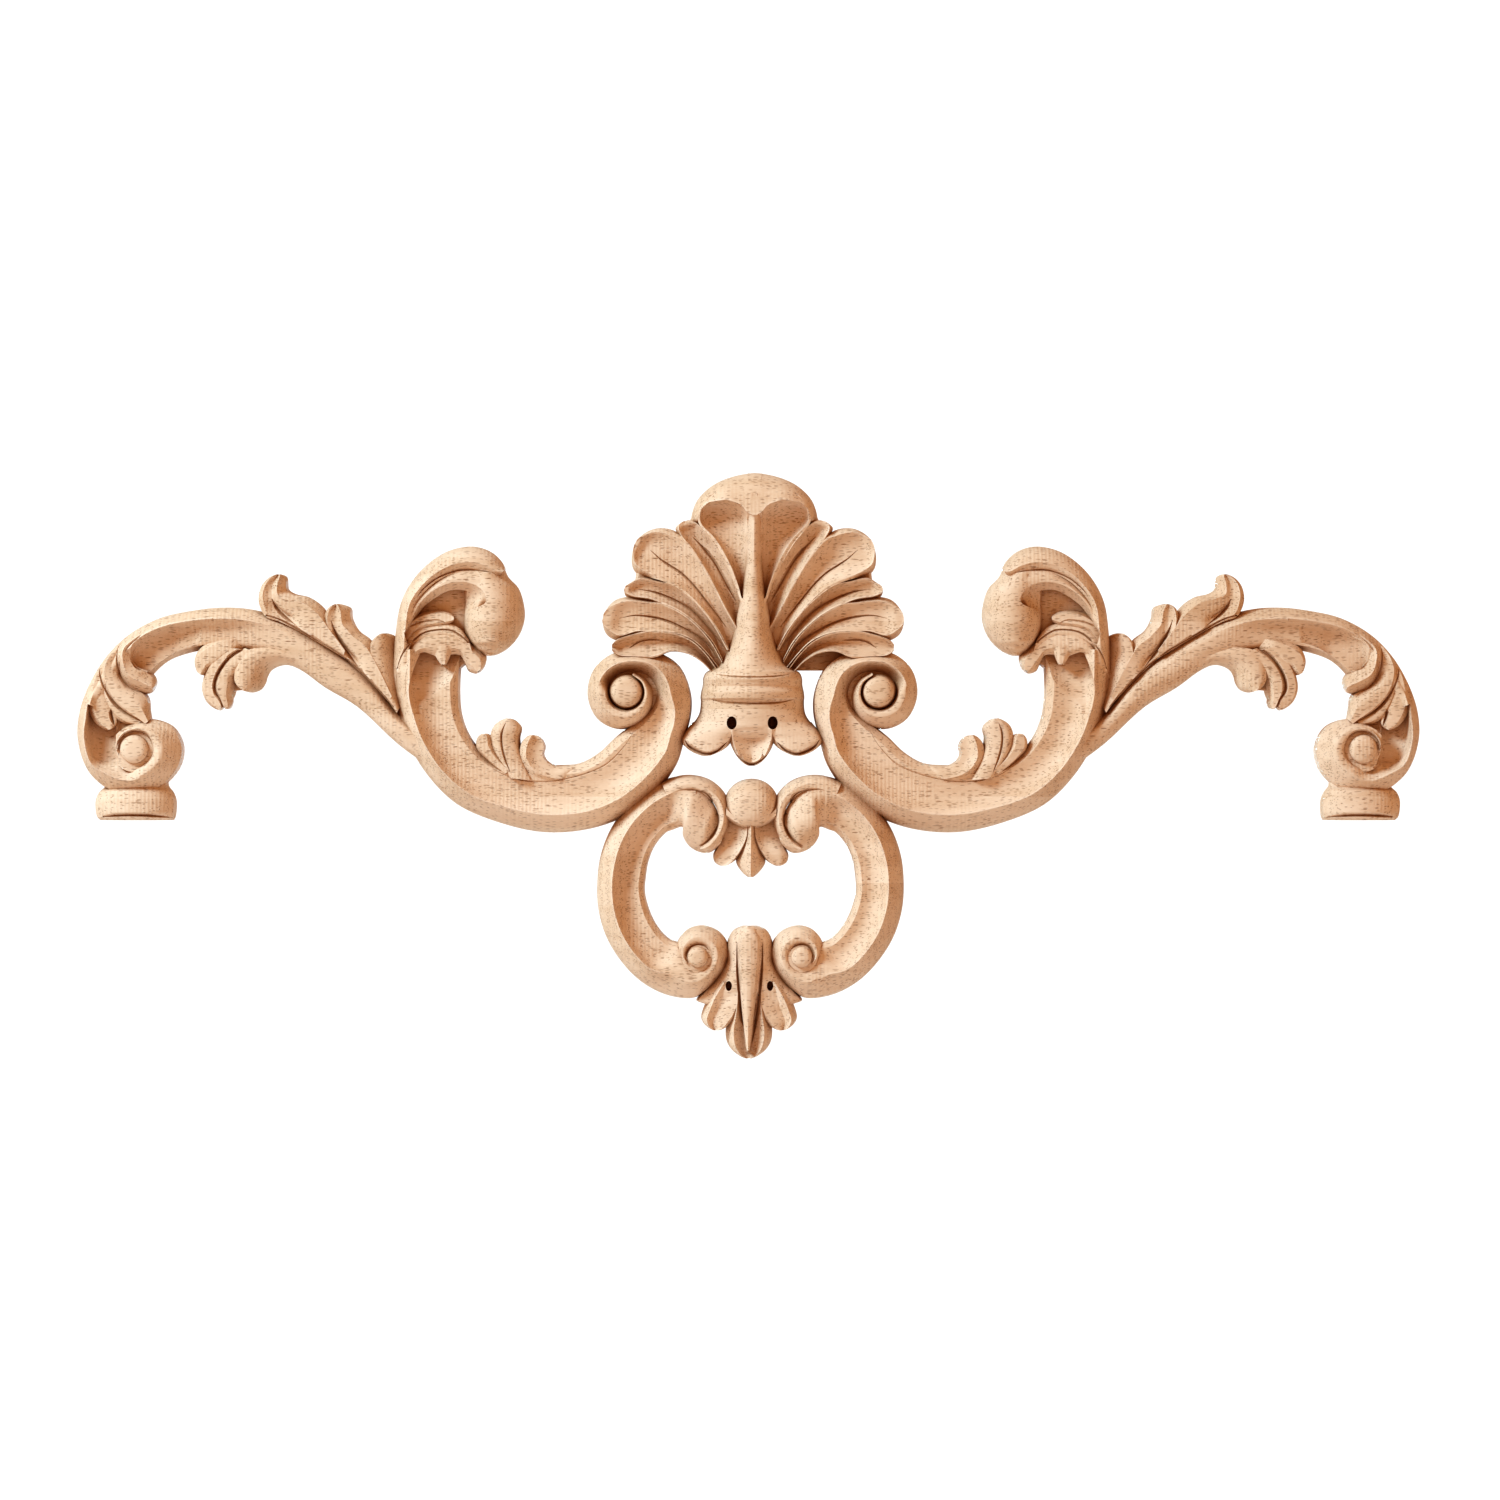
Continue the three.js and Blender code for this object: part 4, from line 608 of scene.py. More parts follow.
HOOD = [[.06, 12.5], [.3, 20], [.65, 24], [.98, 21]]
BALL = [[.03, 13], [.12, 19.5], [.28, 24.3], [.5, 26.3], [.72, 24.3], [.88, 19.5], [.97, 13]]


def crest():
    return [
        strip([
            [-177.75, 52.5, -173, 52.5, [[.1, 8], [.4, 10], [.7, 11], [.98, 11]]],
            [-178, 67.5, -172, 67.5, [[.1, 11.5], [.4, 13.5], [.7, 16], [.98, 17]]],
            [-177.75, 81, -170.5, 81, [[.1, 12.5], [.4, 18], [.7, 20.5], [.98, 20.5]]],
            [-176.75, 92, -169, 94, HOOD], [-174, 108, -167, 107], [-168.5, 119, -161.5, 114.5, HOOD],
            [-160, 128.25, -155, 119.75], [-150, 134.25, -147.5, 123.25], [-138.5, 136.25, -139.5, 124.5],
            [-129.5, 133.5, -132, 123.25], [-124, 128.25, -127, 122], [-122.5, 124],
        ]),
        strip([
            [-173.5, 82.5, -168.5, 87.5, [[.02, 18], [.4, 21], [.8, 21], [.98, 20]]],
            [-172, 97.5, -168, 98], [-167.5, 108, -163.5, 106], [-160.5, 115.5, -156.5, 111.5],
            [-151.5, 121.5, -149.5, 115],
            [-143.5, 125, -142.5, 115, [[.02, 20], [.4, 23], [.8, 22.5], [.98, 21.5]]],
            [-135, 125, -135, 112.5], [-128, 123, -129, 111, [[.02, 22], [.4, 24.5], [.8, 25], [.98, 24]]],
        ]),
        strip([
            [-140, 128, -123.5, 127, scaled(BALL, .78)], [-141.5, 122, -121.25, 121.5, scaled(BALL, .92)],
            [-142.5, 115, -116.25, 116, scaled(BALL, .98)], [-142, 108, -113.75, 109, BALL],
            [-142.75, 100, -113, 101.5, BALL], [-142.25, 94, -114.75, 94.5],
            [-140.25, 89.5, -117.75, 89.5, scaled(BALL, .9)],
            [-137.5, 85.75, -121.5, 85.75, scaled(BALL, .76)],
            [-134.5, 83.25, -125.5, 83.25, scaled(BALL, .6)], [-130, 82],
        ]),
    ]


# The hollows: in the crest, under its collar, the coves of foot and arch, and the flute

def hollows():
    return [
        gouge([
            [-172, 93, -170.5, 87.5, [[0, 20], [.2, 15], [.5, 13.5], [1, 13.5]]],
            [-168.25, 100.5, -165, 89],
            [-164.5, 107.5, -159.5, 90, [[0, 20.5], [.12, 15], [.4, 12.5], [1, 12.5]]],
            [-159.5, 112.75, -154, 90],
            [-153.5, 116.5, -148.5, 90, [[0, 21.5], [.15, 15.5], [.45, 12.5], [1, 12.5]]],
            [-146.5, 118.5, -143.5, 93, [[0, 22], [.2, 15.5], [.6, 13], [1, 12.5]]],
            [-140, 118.25, -142.5, 100, [[0, 22.5], [.25, 16.5], [.6, 14.5], [1, 14]]],
            [-135, 116, -140, 104.25, [[0, 23], [.3, 18.5], [.65, 17], [1, 16.5]]],
            [-131.75, 112.5, -135.5, 106, [[0, 24], [.3, 21.5], [.65, 20.5], [1, 20]]], [-131.25, 108.5],
        ]),
        gouge([
            [-163, 86, -143.5, 86, [[0, 9], [.35, 9], [.7, 9.5], [1, 10]]],
            [-167.5, 75.5, -145.5, 75, [[0, 10.5], [.35, 10], [.7, 11], [1, 15]]],
            [-169.75, 65, -149.5, 65, [[0, 17.5], [.2, 13.5], [.6, 13.3], [1, 17]]],
            [-168, 53, -154, 53, [[0, 23], [.2, 17], [.6, 16.5], [1, 18]]],
        ]),
        gouge([
            [-329.75, 58, -317, 52, [[0, 19], [.12, 10], [.4, 7], [.8, 7], [1, 9]]],
            [-330.75, 46, -315.5, 42], [-330.25, 37.5, -315.5, 35.5],
            [-327.5, 30.75, -314, 30.5, [[0, 20], [.12, 12.5], [.4, 10], [.8, 10.5], [1, 12.5]]],
            [-321.5, 25.5, -312.5, 27, [[0, 21.5], [.2, 16.5], [.5, 15.5], [.8, 16], [1, 17.5]]],
            [-316.5, 23, -310.5, 25.5, [[0, 24], [.2, 21], [.5, 20.5], [.8, 20.5], [1, 21]]], [-313, 23.5],
        ]),
        gouge([
            [-267, 100.5, -267, 90, [[0, 18.5], [.25, 17], [.6, 16], [1, 16]]],
            [-279, 99.25, -280, 87, [[0, 19], [.2, 14], [.5, 12], [1, 12]]],
            [-292, 96.75, -289, 82.5, [[0, 19], [.15, 12], [.4, 9.5], [1, 9.5]]], [-302, 92.5, -294.5, 78],
            [-308, 86.5, -298.5, 74.5], [-307.75, 78.5],
        ]),
        gouge([
            [-20.5, 158.25, -12, 159.5, [[0, 22], [.15, 20], [.4, 20], [.75, 22], [1, 24]]],
            [-24.5, 154.5, -5.5, 156.5, [[0, 21], [.12, 16], [.4, 14.5], [.75, 19], [1, 25]]],
            [-25, 148.5, -2.5, 150.5, [[0, 19.5], [.1, 14.5], [.4, 12.5], [.8, 15], [1, 22]]],
            [-17.25, 140, -2, 138.5],
            [-10.75, 128, -2.25, 126.5, [[0, 19], [.15, 14.5], [.5, 12.5], [.8, 13.5], [1, 17]]],
            [-7, 117.5, -3, 116], [-4.75, 110],
        ]),
    ]


# The small leaves and the collar under the crest

def crest_leaves():
    return [
        strip([
            [-174, 91, -171, 88, ROUND_LEAF], [-169.5, 99.25, -166, 93.5], [-163.5, 103.25, -161, 95],
            [-156, 104.5, -155, 96], [-150, 103.25, -150.5, 97.5], [-147.25, 100.5],
        ]),
        strip([
            [-176.5, 76, -174, 70, [[.06, 15], [.3, 17], [.7, 17.3], [.96, 15.5]]], [-173, 90, -169, 82.5],
            [-167, 95.5, -163, 87.5], [-159, 97.5, -156, 90], [-150.5, 98, -149, 90],
            [-144.5, 95.5, -143, 86], [-140, 90, -138, 82],
        ]),
        strip([
            [-176.5, 52.5, -171, 52.5, [[.05, 8], [.3, 11], [.7, 14], [.97, 15]]],
            [-176.5, 65, -170, 65, [[.05, 12], [.3, 15.5], [.7, 19.5], [.97, 19]]],
            [-175, 76.25, -169, 77, [[.05, 15.5], [.3, 18.8], [.7, 20.5], [.97, 17.5]]],
            [-172, 83.25, -166.5, 82.25],
            [-167.5, 89, -163, 84, [[.05, 15], [.3, 18.5], [.7, 19.5], [.97, 17.5]]],
            [-161.5, 93.25, -159, 83], [-155, 94.75, -154.5, 81], [-148.5, 94.25, -148.5, 82.5],
            [-142.5, 90.75, -144.25, 82],
            [-137.25, 86.5, -142, 78, [[.07, 13.5], [.3, 17.5], [.7, 17.5], [.93, 14]]],
            [-132, 81.5, -140, 74.5], [-135, 73.75],
        ]),
        strip([
            [-158, 87, -148, 87, [[.06, 17.5], [.3, 19], [.7, 19], [.94, 17]]], [-156.25, 81.5, -149.5, 82],
            [-152.5, 77.25],
        ]),
    ]


# Sunk grounds that carry a cluster of leaves

GROUND = [[.03, 10.5], [.5, 11], [.97, 10.5]]


def grounds():
    return [
        strip([
            [-267, 86, -244, 85, GROUND], [-268, 72.5, -245, 70], [-264.5, 64, -252, 65],
        ]),
        strip([
            [-230, 104, -230, 90, GROUND], [-219, 96, -220, 84], [-206, 94, -207.5, 75],
            [-194, 90, -195, 65], [-182.5, 84, -182.5, 56], [-176, 76, -173, 51],
        ]),
        strip([
            [-176, 59, -168.5, 60, GROUND], [-176, 80, -142, 78], [-173.5, 100, -136, 86],
            [-167, 114, -134, 101], [-155, 126, -132.5, 110], [-140, 131, -123.5, 112.5],
            [-128.5, 127.5, -119, 110],
        ]),
        strip([
            [-17, 77, 1, 72, GROUND], [-25, 82.5, 1, 80], [-35, 87, 1, 87.5], [-55, 87, 1, 92.5],
            [-68, 95, 1, 100], [-68.5, 105, 1, 107.5], [-58.5, 115, 1, 117.5], [-54.5, 130, 1, 127.5],
            [-35, 141, 1, 137.5], [-25, 157.5, 1, 152.5], [-10, 167.5, 1, 162.5],
        ]),
    ]


# The leaf that grows from the inner edge of the S-scroll

def scroll_leaves():
    return [
        strip([
            [-122.5, 23, -119, 25, ROUND_LEAF], [-131, 30, -125, 31.5], [-136.25, 36, -128, 37.5],
            [-135.75, 41, -129.25, 41.5], [-132.5, 43.25],
        ]),
        strip([
            [-120, 21, -108, 20,
             [[.04, 14.5], [.18, 17.3], [.38, 17.8], [.6, 17.6], [.85, 16.3], [.96, 13]]],
            [-126, 30, -111.5, 27.5], [-129.25, 37.5, -114.25, 34.5], [-128.75, 44.5, -115.25, 41],
            [-126, 48.5, -114.5, 46.5], [-119.5, 50.75],
        ]),
        strip([
            [-86, 20, -82, 28.5, [[.05, 8], [.3, 11], [.7, 11.5], [.94, 10]]],
            [-96, 18.5, -91.5, 26.75, [[.05, 14], [.3, 16.3], [.7, 15.5], [.94, 12.5]]],
            [-103, 20, -97.5, 27], [-110, 23.5, -101.5, 29.5, [[.05, 15], [.3, 18], [.6, 15.5], [.93, 15]]],
            [-114.5, 30.5, -103.25, 33], [-114.25, 37.5, -102.5, 36.5], [-111.5, 41.25, -104, 40.25],
            [-108, 42.5],
        ]),
    ]


# The shell: grooved lobes fan out from a hub, each one dished at its tip

LOBE = [[.01, 18.5], [.06, 18.8], [.25, 14.8], [.5, 12.8], [.75, 14.8], [.94, 18.8], [.99, 18.5]]
LOBE_DISH = [[.05, 14], [.12, 17.8], [.27, 15], [.5, 14], [.73, 15], [.88, 17.8], [.95, 14]]
LOBE_RIM = [[.1, 13], [.17, 17.2], [.3, 16.8], [.5, 16.6], [.7, 16.8], [.83, 17.2], [.9, 13]]
LOBE_ROOT = raised(LOBE, -3.5)


def lobes():
    return [
        strip([
            [-7.5, 96, -4, 106, LOBE_ROOT], [-12.5, 105.5, -6.5, 115], [-19, 119, -11.5, 126.5, LOBE],
            [-26.5, 131.5, -17.5, 137.5], [-32.5, 139.5, -22, 143.5, LOBE],
            [-36, 143.5, -24, 146.75, LOBE_DISH], [-36.75, 146.25, -26, 148.75, LOBE_RIM], [-32, 149.25],
        ]),
        strip([
            [-11.5, 85, -7.5, 96, LOBE_ROOT], [-17.5, 96.5, -13, 106.5], [-25, 106.5, -19.5, 120, LOBE],
            [-34.5, 115, -26, 131], [-44.5, 119.75, -32.5, 139.5, LOBE],
            [-53, 121.25, -38.5, 144.5, LOBE_DISH], [-58, 125.5, -46.5, 145.5, LOBE_DISH],
            [-59, 131.5, -53, 143, LOBE_RIM], [-57, 138.5],
        ]),
        strip([
            [-14, 79, -11, 84.5, LOBE_ROOT], [-18.5, 87.5, -15.5, 94], [-25, 95.5, -22, 103, LOBE],
            [-32.5, 102, -29.5, 110.5], [-41, 106.5, -38, 117, LOBE], [-50, 109.5, -47.5, 120, LOBE_DISH],
            [-58, 110.75, -54.5, 121, LOBE_DISH], [-62, 112.5, -59.5, 118.5, LOBE_RIM], [-62.5, 115.75],
        ]),
        strip([
            [-16.5, 75.5, -14, 79.5, LOBE_ROOT], [-22, 83, -18.5, 88.5], [-28.5, 89, -25, 96, LOBE],
            [-37, 92.75, -32.5, 102.5], [-47, 93.75, -41.5, 107.5, LOBE],
            [-57, 92.5, -50.5, 110, LOBE_DISH], [-65.5, 90, -60, 111.25, LOBE_DISH],
            [-71.5, 93, -68, 109.25, LOBE_RIM], [-73.5, 101],
        ]),
        strip([
            [-19, 74.5, -16, 76, LOBE_ROOT], [-24, 79.5, -21, 82.5], [-31, 83.5, -27.5, 89, LOBE],
            [-39.5, 84.5, -36, 93], [-47.5, 81.5, -46, 94.5, LOBE], [-57.5, 81, -56, 93.5],
            [-65, 81.5, -65, 91, LOBE_DISH], [-69, 86],
        ]),
    ]


FLUTE = [[.02, 18.5], [.2, 19.5], [.7, 20], [.98, 20]]


def crown():
    return [
        strip([
            [-26.5, 139.5, -24, 140, [[.2, 7], [.4, 8], [.7, 9], [.98, 9]]],
            [-29, 145, -25, 145.5, [[.15, 8], [.4, 11], [.7, 12.5], [.98, 13]]],
            [-29, 151, -25, 151.5, [[.15, 12], [.4, 17], [.7, 19], [.98, 19.5]]],
            [-26, 159.5, -22, 156.25, [[.12, 13], [.35, 18.5], [.7, 22], [.98, 23.5]]],
            [-19, 166.5, -16.5, 159.25],
            [-10, 171, -9.5, 158.5, [[.07, 13], [.25, 19.5], [.6, 25], [.98, 27.5]]],
            [-1, 173, -1, 152, [[.05, 13], [.18, 20], [.5, 26], [.98, 28]]], [3, 172.85, 1, 152],
        ]),
        strip([
            [-19, 162.5, 1, 162.5, [[.02, 22], [.4, 23], [.7, 25], [.98, 26.5]]],
            [-24.5, 156, 1, 156, [[.02, 20], [.4, 22], [.7, 24], [.98, 26]]],
            [-25.75, 148.5, 1, 148.5, FLUTE], [-18.5, 139.25, 0, 137], [-12, 127.25, -1, 125.5, FLUTE],
            [-7.75, 116.5, -1.5, 115, raised(FLUTE, -1)], [-4.5, 106.5, -3, 106.5],
        ]),
    ]


# The stem, its two-ringed collar and the bell flower below, across the centre line

ACROSS = [[.02, .45], [.13, .72], [.32, .93], [.5, 1], [.68, .93], [.87, .72], [.98, .45]]
STEM = [[.02, .6], [.12, .8], [.3, .96], [.5, 1], [.7, .96], [.88, .8], [.98, .6]]


def tier(z, half_width, height, across=ACROSS):
    return even(z, half_width, scaled(across, height))


BELL_TIP = [[.02, 14], [.09, 18.5], [.3, 20.5], [.7, 21], [.92, 19.5], [.98, 15]]


def bell_body():
    return strip([
        tier(154, 2.25, 27, STEM),
        tier(148, 2.8, 25, STEM),
        tier(129, 3.2, 22.5, STEM),
        tier(115.5, 4.75, 22.5, STEM),
        tier(103.5, 6.65, 23.5, STEM),
        tier(91.5, 9, 24.5),
        tier(83, 12.25, 25),
        tier(77.5, 15.5, 25.3),
        tier(75.25, 19, 25.6),
        tier(73.5, 21.75, 26.8),
        tier(70.5, 23, 27.8),
        tier(68, 23.1, 26.6),
        tier(66.75, 23.3, 26),
        tier(63.75, 24, 27.8),
        tier(61, 24.3, 27.2),
        tier(59.5, 24.15, 25),
        tier(53, 25, 24.8),
        tier(47.5, 28.75, 24),
        tier(44, 31.75, 22),
        tier(41.5, 32.5, 19),
        tier(39.75, 31, 13),
    ])


def bell_side():
    return strip([
        [-28, 49, -7, 49, [[.02, 8], [.09, 11], [.3, 17], [.7, 21.5], [.92, 22], [.98, 21]]],
        [-32.75, 43, -7.5, 44.5, [[.02, 12], [.09, 16], [.3, 19.5], [.7, 21.5], [.92, 21], [.98, 18]]],
        [-33.75, 39.25, -9.25, 40.5, BELL_TIP], [-30.5, 35.5, -12.5, 36.25], [-26, 33, -17, 33.5],
        [-21.5, 32],
    ])


def bell_middle():
    return strip([
        even(47, 12, [[.05, 22], [.13, 23], [.3, 22.5], [.5, 22], [.7, 22.5], [.87, 23], [.95, 22]]),
        even(39.5, 10, [[.03, 15], [.09, 20], [.3, 17.5], [.5, 16], [.7, 17.5], [.91, 20], [.97, 15]]),
        even(33.5, 7.5), even(29, 4), [0, 27],
    ])


# The ring: a C-scroll on each side, curled at the top round a bulb, at the bottom round an eye

RING_EYE = [-26, -68]


def ring():
    return [
        *wound([
            [-27, 21.5, -27, -4.5, RING_TOP], [-35, 21.75, -34, -2, RING_TOP], [-47, 18, -41, -5, RING],
            [-60, 8, -47.5, -12], [-69, -4, -51, -20], [-74.25, -17.5, -52.5, -28.5], [-76, -31, -53, -35],
            [-75.5, -44, -51.5, -42.5], [-72, -57, -48.5, -50], [-65.5, -68.5, -44.5, -56],
            [-56, -79, -40, -60, RING], [-45, -85.75, -35.5, -62],
            *turns(RING_EYE, [
                [249, 22, 6.25, RING_RIM], [266, 20.25, 6.15], [283, 17.25, 6], [306, 14.9, 6],
                [335, 14.3, 6], [362, 15, 6], [385, 15.75, 6], [410, 15.75, 6], [440, 15.1, 6],
                [466, 14.1, 6], [489, 12.8, 6], [510, 11.65, 6], [540, 9.25, 6], [570, 7, 6, RING_RIM],
            ]),
        ], [16, 21]),
        dome(RING_EYE, [12, 12], [[1, 13.2]]),
        dome(RING_EYE, [8, 8], EYE_SEAT),
        dome(RING_EYE, [6, 6], EYE),
        strip([
            [-44, 18.5, -41, 11.5, [[.06, 12], [.25, 17], [.55, 19.5], [.8, 20], [.98, 19]]],
            [-35, 21.75, -34, 14.5],
            [-26.5, 21.75, -27.5, 15, [[.06, 12], [.25, 17.5], [.55, 20.5], [.8, 20], [.98, 17]]],
            [-19, 19, -22, 12.5], [-13, 13, -17.25, 8], [-10.25, 4.5, -15.5, 1.5], [-11.25, -4, -17, -5.5],
            [-15, -10.75, -20.5, -10.25], [-19.5, -14.75, -23, -12.5], [-24.75, -14.5],
        ]),
        strip([
            [-49, 8, -45, -6.5, [[.02, 13], [.2, 12.5], [.5, 12], [.8, 12], [.97, 11.5]]],
            [-40, 11.5, -39, -4.5, [[.02, 18], [.2, 15.5], [.5, 13.8], [.8, 13.2], [.97, 12.5]]],
            [-33.5, 14, -33.75, -3, [[.02, 19.5], [.2, 20], [.5, 19.2], [.8, 17], [.97, 13]]],
            [-28, 15, -33.5, -7, [[.02, 18], [.2, 21.5], [.5, 23], [.8, 20], [.97, 13]]],
            [-22.5, 12.5, -30.75, -12],
            [-18.25, 7.5, -26.5, -15, [[.02, 16.5], [.2, 19.5], [.5, 21.5], [.8, 19], [.97, 13]]],
            [-15.5, 1, -20.75, -16, [[.02, 15.5], [.2, 17], [.5, 18], [.8, 17], [.97, 13]]],
            [-14, -5, -16.5, -13.5], [-14, -10],
        ]),
    ]


# The bead between the two curls, with its lip and the small three-petalled pendant

LIP = [[.05, 17], [.3, 20], [.7, 19.5], [.92, 16]]


def bead():
    return [
        dome([0, 8], [13, 12.75], [[.95, 15], [.75, 21], [.35, 24]]),
        strip([
            [-12, 7, -12, 1, LIP], [-6, 2, -6, -2.5], [0, 0.75, 0, -3.5], [6, 2, 6, -2.5],
            [12, 7, 12, 1, LIP],
        ]),
        strip([
            even(-1, 2, [[.06, 13.5], [.25, 17], [.5, 19.5], [.75, 17], [.94, 13.5]]),
            even(-9, 2.75), even(-15.5, 5), even(-20.5, 6.75), even(-25, 4.5), [0, -28.5],
        ]),
    ]


def pendant_petal():
    return strip([
        [-12, 0, -1, -1, [[.05, 12.5], [.35, 12.5], [.7, 14], [.88, 17.5], [.97, 16]]],
        [-13, -7, -1.25, -8], [-16, -13, -3.5, -14],
        [-18, -17.5, -6.5, -18.5, [[.08, 13.5], [.3, 15.5], [.65, 16], [.88, 17], [.95, 13.5]]],
        [-17, -21.25, -10, -21.5], [-13.5, -22.75],
    ])


# The leaf at the foot of the ring

CALYX = [[.03, 12], [.12, 15.5], [.3, 18], [.5, 18.5], [.7, 18], [.88, 15.5], [.97, 12]]
CALYX_END = [[.03, 11], [.12, 14], [.3, 15], [.5, 15], [.7, 15], [.88, 14], [.97, 11]]
TAIL_TIP = [[.07, 13], [.18, 17], [.36, 14], [.5, 13.5], [.64, 14], [.82, 17], [.93, 13]]


def tail_centre():
    return [
        strip([
            even(-52.75, 3, CALYX), even(-54.75, 7.5), even(-59, 10.25),
            even(-64, 11.25), even(-70, 11.5), even(-79, 16.5, CALYX),
            even(-85.5, 23), even(-90, 26.5, CALYX_END), even(-92, 22),
        ]),
        strip([
            even(-54, 3.5, [[.1, 16], [.25, 19], [.5, 20], [.75, 19], [.9, 16]]),
            [-6, -60, 5.75, -60, [[.06, 18], [.18, 22], [.5, 23], [.8, 22], [.94, 18]]],
            [-6, -70, 5.5, -70], [-5.25, -80, 4.5, -80], [-4.5, -90, 3.25, -90], [-3, -100, 2, -100],
            [-2, -109, 1, -109, [[.06, 16], [.18, 19], [.5, 20], [.8, 19], [.94, 16]]], [-0.25, -115],
        ]),
        strip([
            even(-89, 8.5, TAIL_TIP), even(-97.5, 10), even(-105, 11.75),
            even(-111.5, 10.75), even(-116.5, 6.5), [0, -118.75],
        ]),
    ]


def tail_side():
    return strip([
        [-14, -80, -2.5, -82.5, [[.07, 16], [.17, 17.5], [.38, 15], [.6, 16], [.85, 17], [.97, 15]]],
        [-20, -88, -4, -91.5],
        [-23, -94, -6.5, -97.5, [[.1, 13], [.2, 16.5], [.4, 14], [.62, 15.5], [.85, 16.5], [.95, 14]]],
        [-24, -99, -9.5, -101], [-21.5, -103, -12.5, -103.5], [-17, -104.75],
    ])


# The thin waste web left at the back between the shell and its right-hand volute

def web():
    return strip([
        [19, 85, 19, 75.25, [[0, 4], [.5, 4], [1, 4]]], [31, 86, 31, 75.25], [45, 86, 45, 75.25],
    ])


# Fine cuts scored into the forms: [width, depth, x, z, x, z and so on]

def fine_cuts():
    return [
        # one from the edge to the foot of every lobe of the shell
        [1.6, 1.6, -28.75, 141.5, -23, 135.5, -18, 129, -14, 121.5, -10.5, 114.5, -7.5, 108.5],
        [1.5, 1.5, -50, 135, -44.5, 130, -40, 127, -34, 123, -27.5, 116.5, -22, 109.5, -16.5, 102.5,
         -12, 96],
        [1.5, 1.5, -55, 115, -49, 114, -44, 112.5, -38, 110, -30, 105.5, -25, 101, -19, 94, -13.5, 87],
        [1.4, 1.4, -65.5, 100.5, -57.5, 102, -47.5, 101, -40, 99, -32.5, 95.5, -25, 91, -20, 86.5,
         -16, 80],
        [1.3, 1.2, -60.5, 85.5, -55, 89, -50, 90, -42.5, 89.5],
        # under the hood of the crest
        [1.4, 1.4, -165.5, 111, -163, 114.5, -156.5, 120, -148.5, 123.5, -144, 124.5, -137, 124.5,
         -126.5, 123],
        # round the collar and the small leaf above it
        [1.3, 1.3, -176.5, 67, -175.5, 76, -173, 82.5, -168.5, 88.5, -163, 93, -156, 94.75, -149, 94.5,
         -143.5, 91.5, -139, 87.5, -133.5, 82],
        [1.2, .8, -173, 94, -169.5, 96.5, -164.5, 98.5, -159, 99.5, -154.5, 99.5, -150.5, 97.5],
        # scroll leaf
        [1.6, 1.5, -121.5, 49, -123.5, 43.5, -123.5, 37.5, -122, 31, -119, 23],
        # inner bevel of the scroll
        [1, .6, -130, 27.5, -125, 24, -118, 21, -110, 19.5, -102, 19.25, -94, 20.25, -86, 22,
         -78.5, 24.5, -71.5, 28, -65.5, 33.5, -61, 39, -57, 46],
        # leaves under and over the arch
        [1.3, 1.3, -250.5, 86.5, -255, 84.5, -259, 81.5, -264, 75, -266.5, 69, -266.5, 64, -263.5, 60],
        [1.8, 1.8, -238.25, 110.5, -236.5, 107, -234, 103.75, -230.5, 100.5, -226, 97],
        [1.4, 1.4, -246, 103.25, -241, 102, -235, 100.25, -225, 95, -215, 89.25, -207.5, 85,
         -200, 79.5, -194, 74.25, -189, 69.5, -181.5, 61.5, -175.5, 54],
        [1.8, 1.8, -208.75, 100, -206.75, 94, -203.5, 88, -199, 81.5, -194.5, 75.5],
        # leaves of the foot
        [1.3, 1.2, -315, 86, -315.25, 82, -315, 77.5, -313.5, 71.5, -309.5, 66.5, -303.5, 63.5],
        [1.3, 1.2, -324, 76, -323.5, 71.5, -321, 65, -316.5, 58.5, -310, 53, -303.5, 50.25],
        # curl of the ring and the eye at its foot
        [1.5, 1.6, -26.5, 15, -22.5, 13.75, -20, 11.5, -16.5, 5, -15.75, -1, -18, -6.5, -22, -11,
         -26, -13],
        # tail leaf
        [1.8, 2.4, -6.5, -60, -6.25, -72.5, -5.5, -82.5, -4.5, -92.5, -3, -102.5, -1.5, -112],
        # eyes of the foot and the ring
        [1.5, 1.5, -314, 32, -314.75, 37, -312.5, 41.5, -308.5, 44, -304, 44.25, -300, 42.5,
         -297.5, 39],
        [1.3, 1.3, -30.5, -70.5, -31.5, -66.5, -29.5, -63, -26, -61.75, -22.5, -62.5, -20, -65],
        # second lobe of the lowest leaf and the hollow under the foot
        [2, 2.5, -318.5, 55.5, -318, 52, -316.5, 47],
        [2, 2.2, -326.5, 1.25, -316, 2.25, -307, 2.5, -298, 2.25, -287.5, 1.25],
        # lower edges of the bell's petals
        [2.6, 3.5, -32.5, 40, -30.5, 37, -26.5, 34.5, -21.5, 33, -16.5, 34.5, -11.5, 39],
        [2.6, 3.5, -10, 37.5, -7, 32.5, -3.5, 29.25, 0, 27.75, 3.5, 29.25, 7, 32.5, 10, 37.5],
        # rings of the bell
        [1.6, 1.3, -20.5, 60.5, -14, 59, -7, 58.35, 0, 58.15, 7, 58.35, 14, 59, 20.5, 60.5],
        [1.4, 1, -18, 73, -12, 71.85, -6, 71.35, 0, 71.2, 6, 71.35, 12, 71.85, 18, 73],
    ]


# Drilled eyes, one on each side: distance from the centre line, level, radii and floor

BELL_EYES = (9.5, 48.5, [2.35, 3.25], 9)
TAIL_EYES = (10.5, -82.5, [1.6, 2.5], 8)


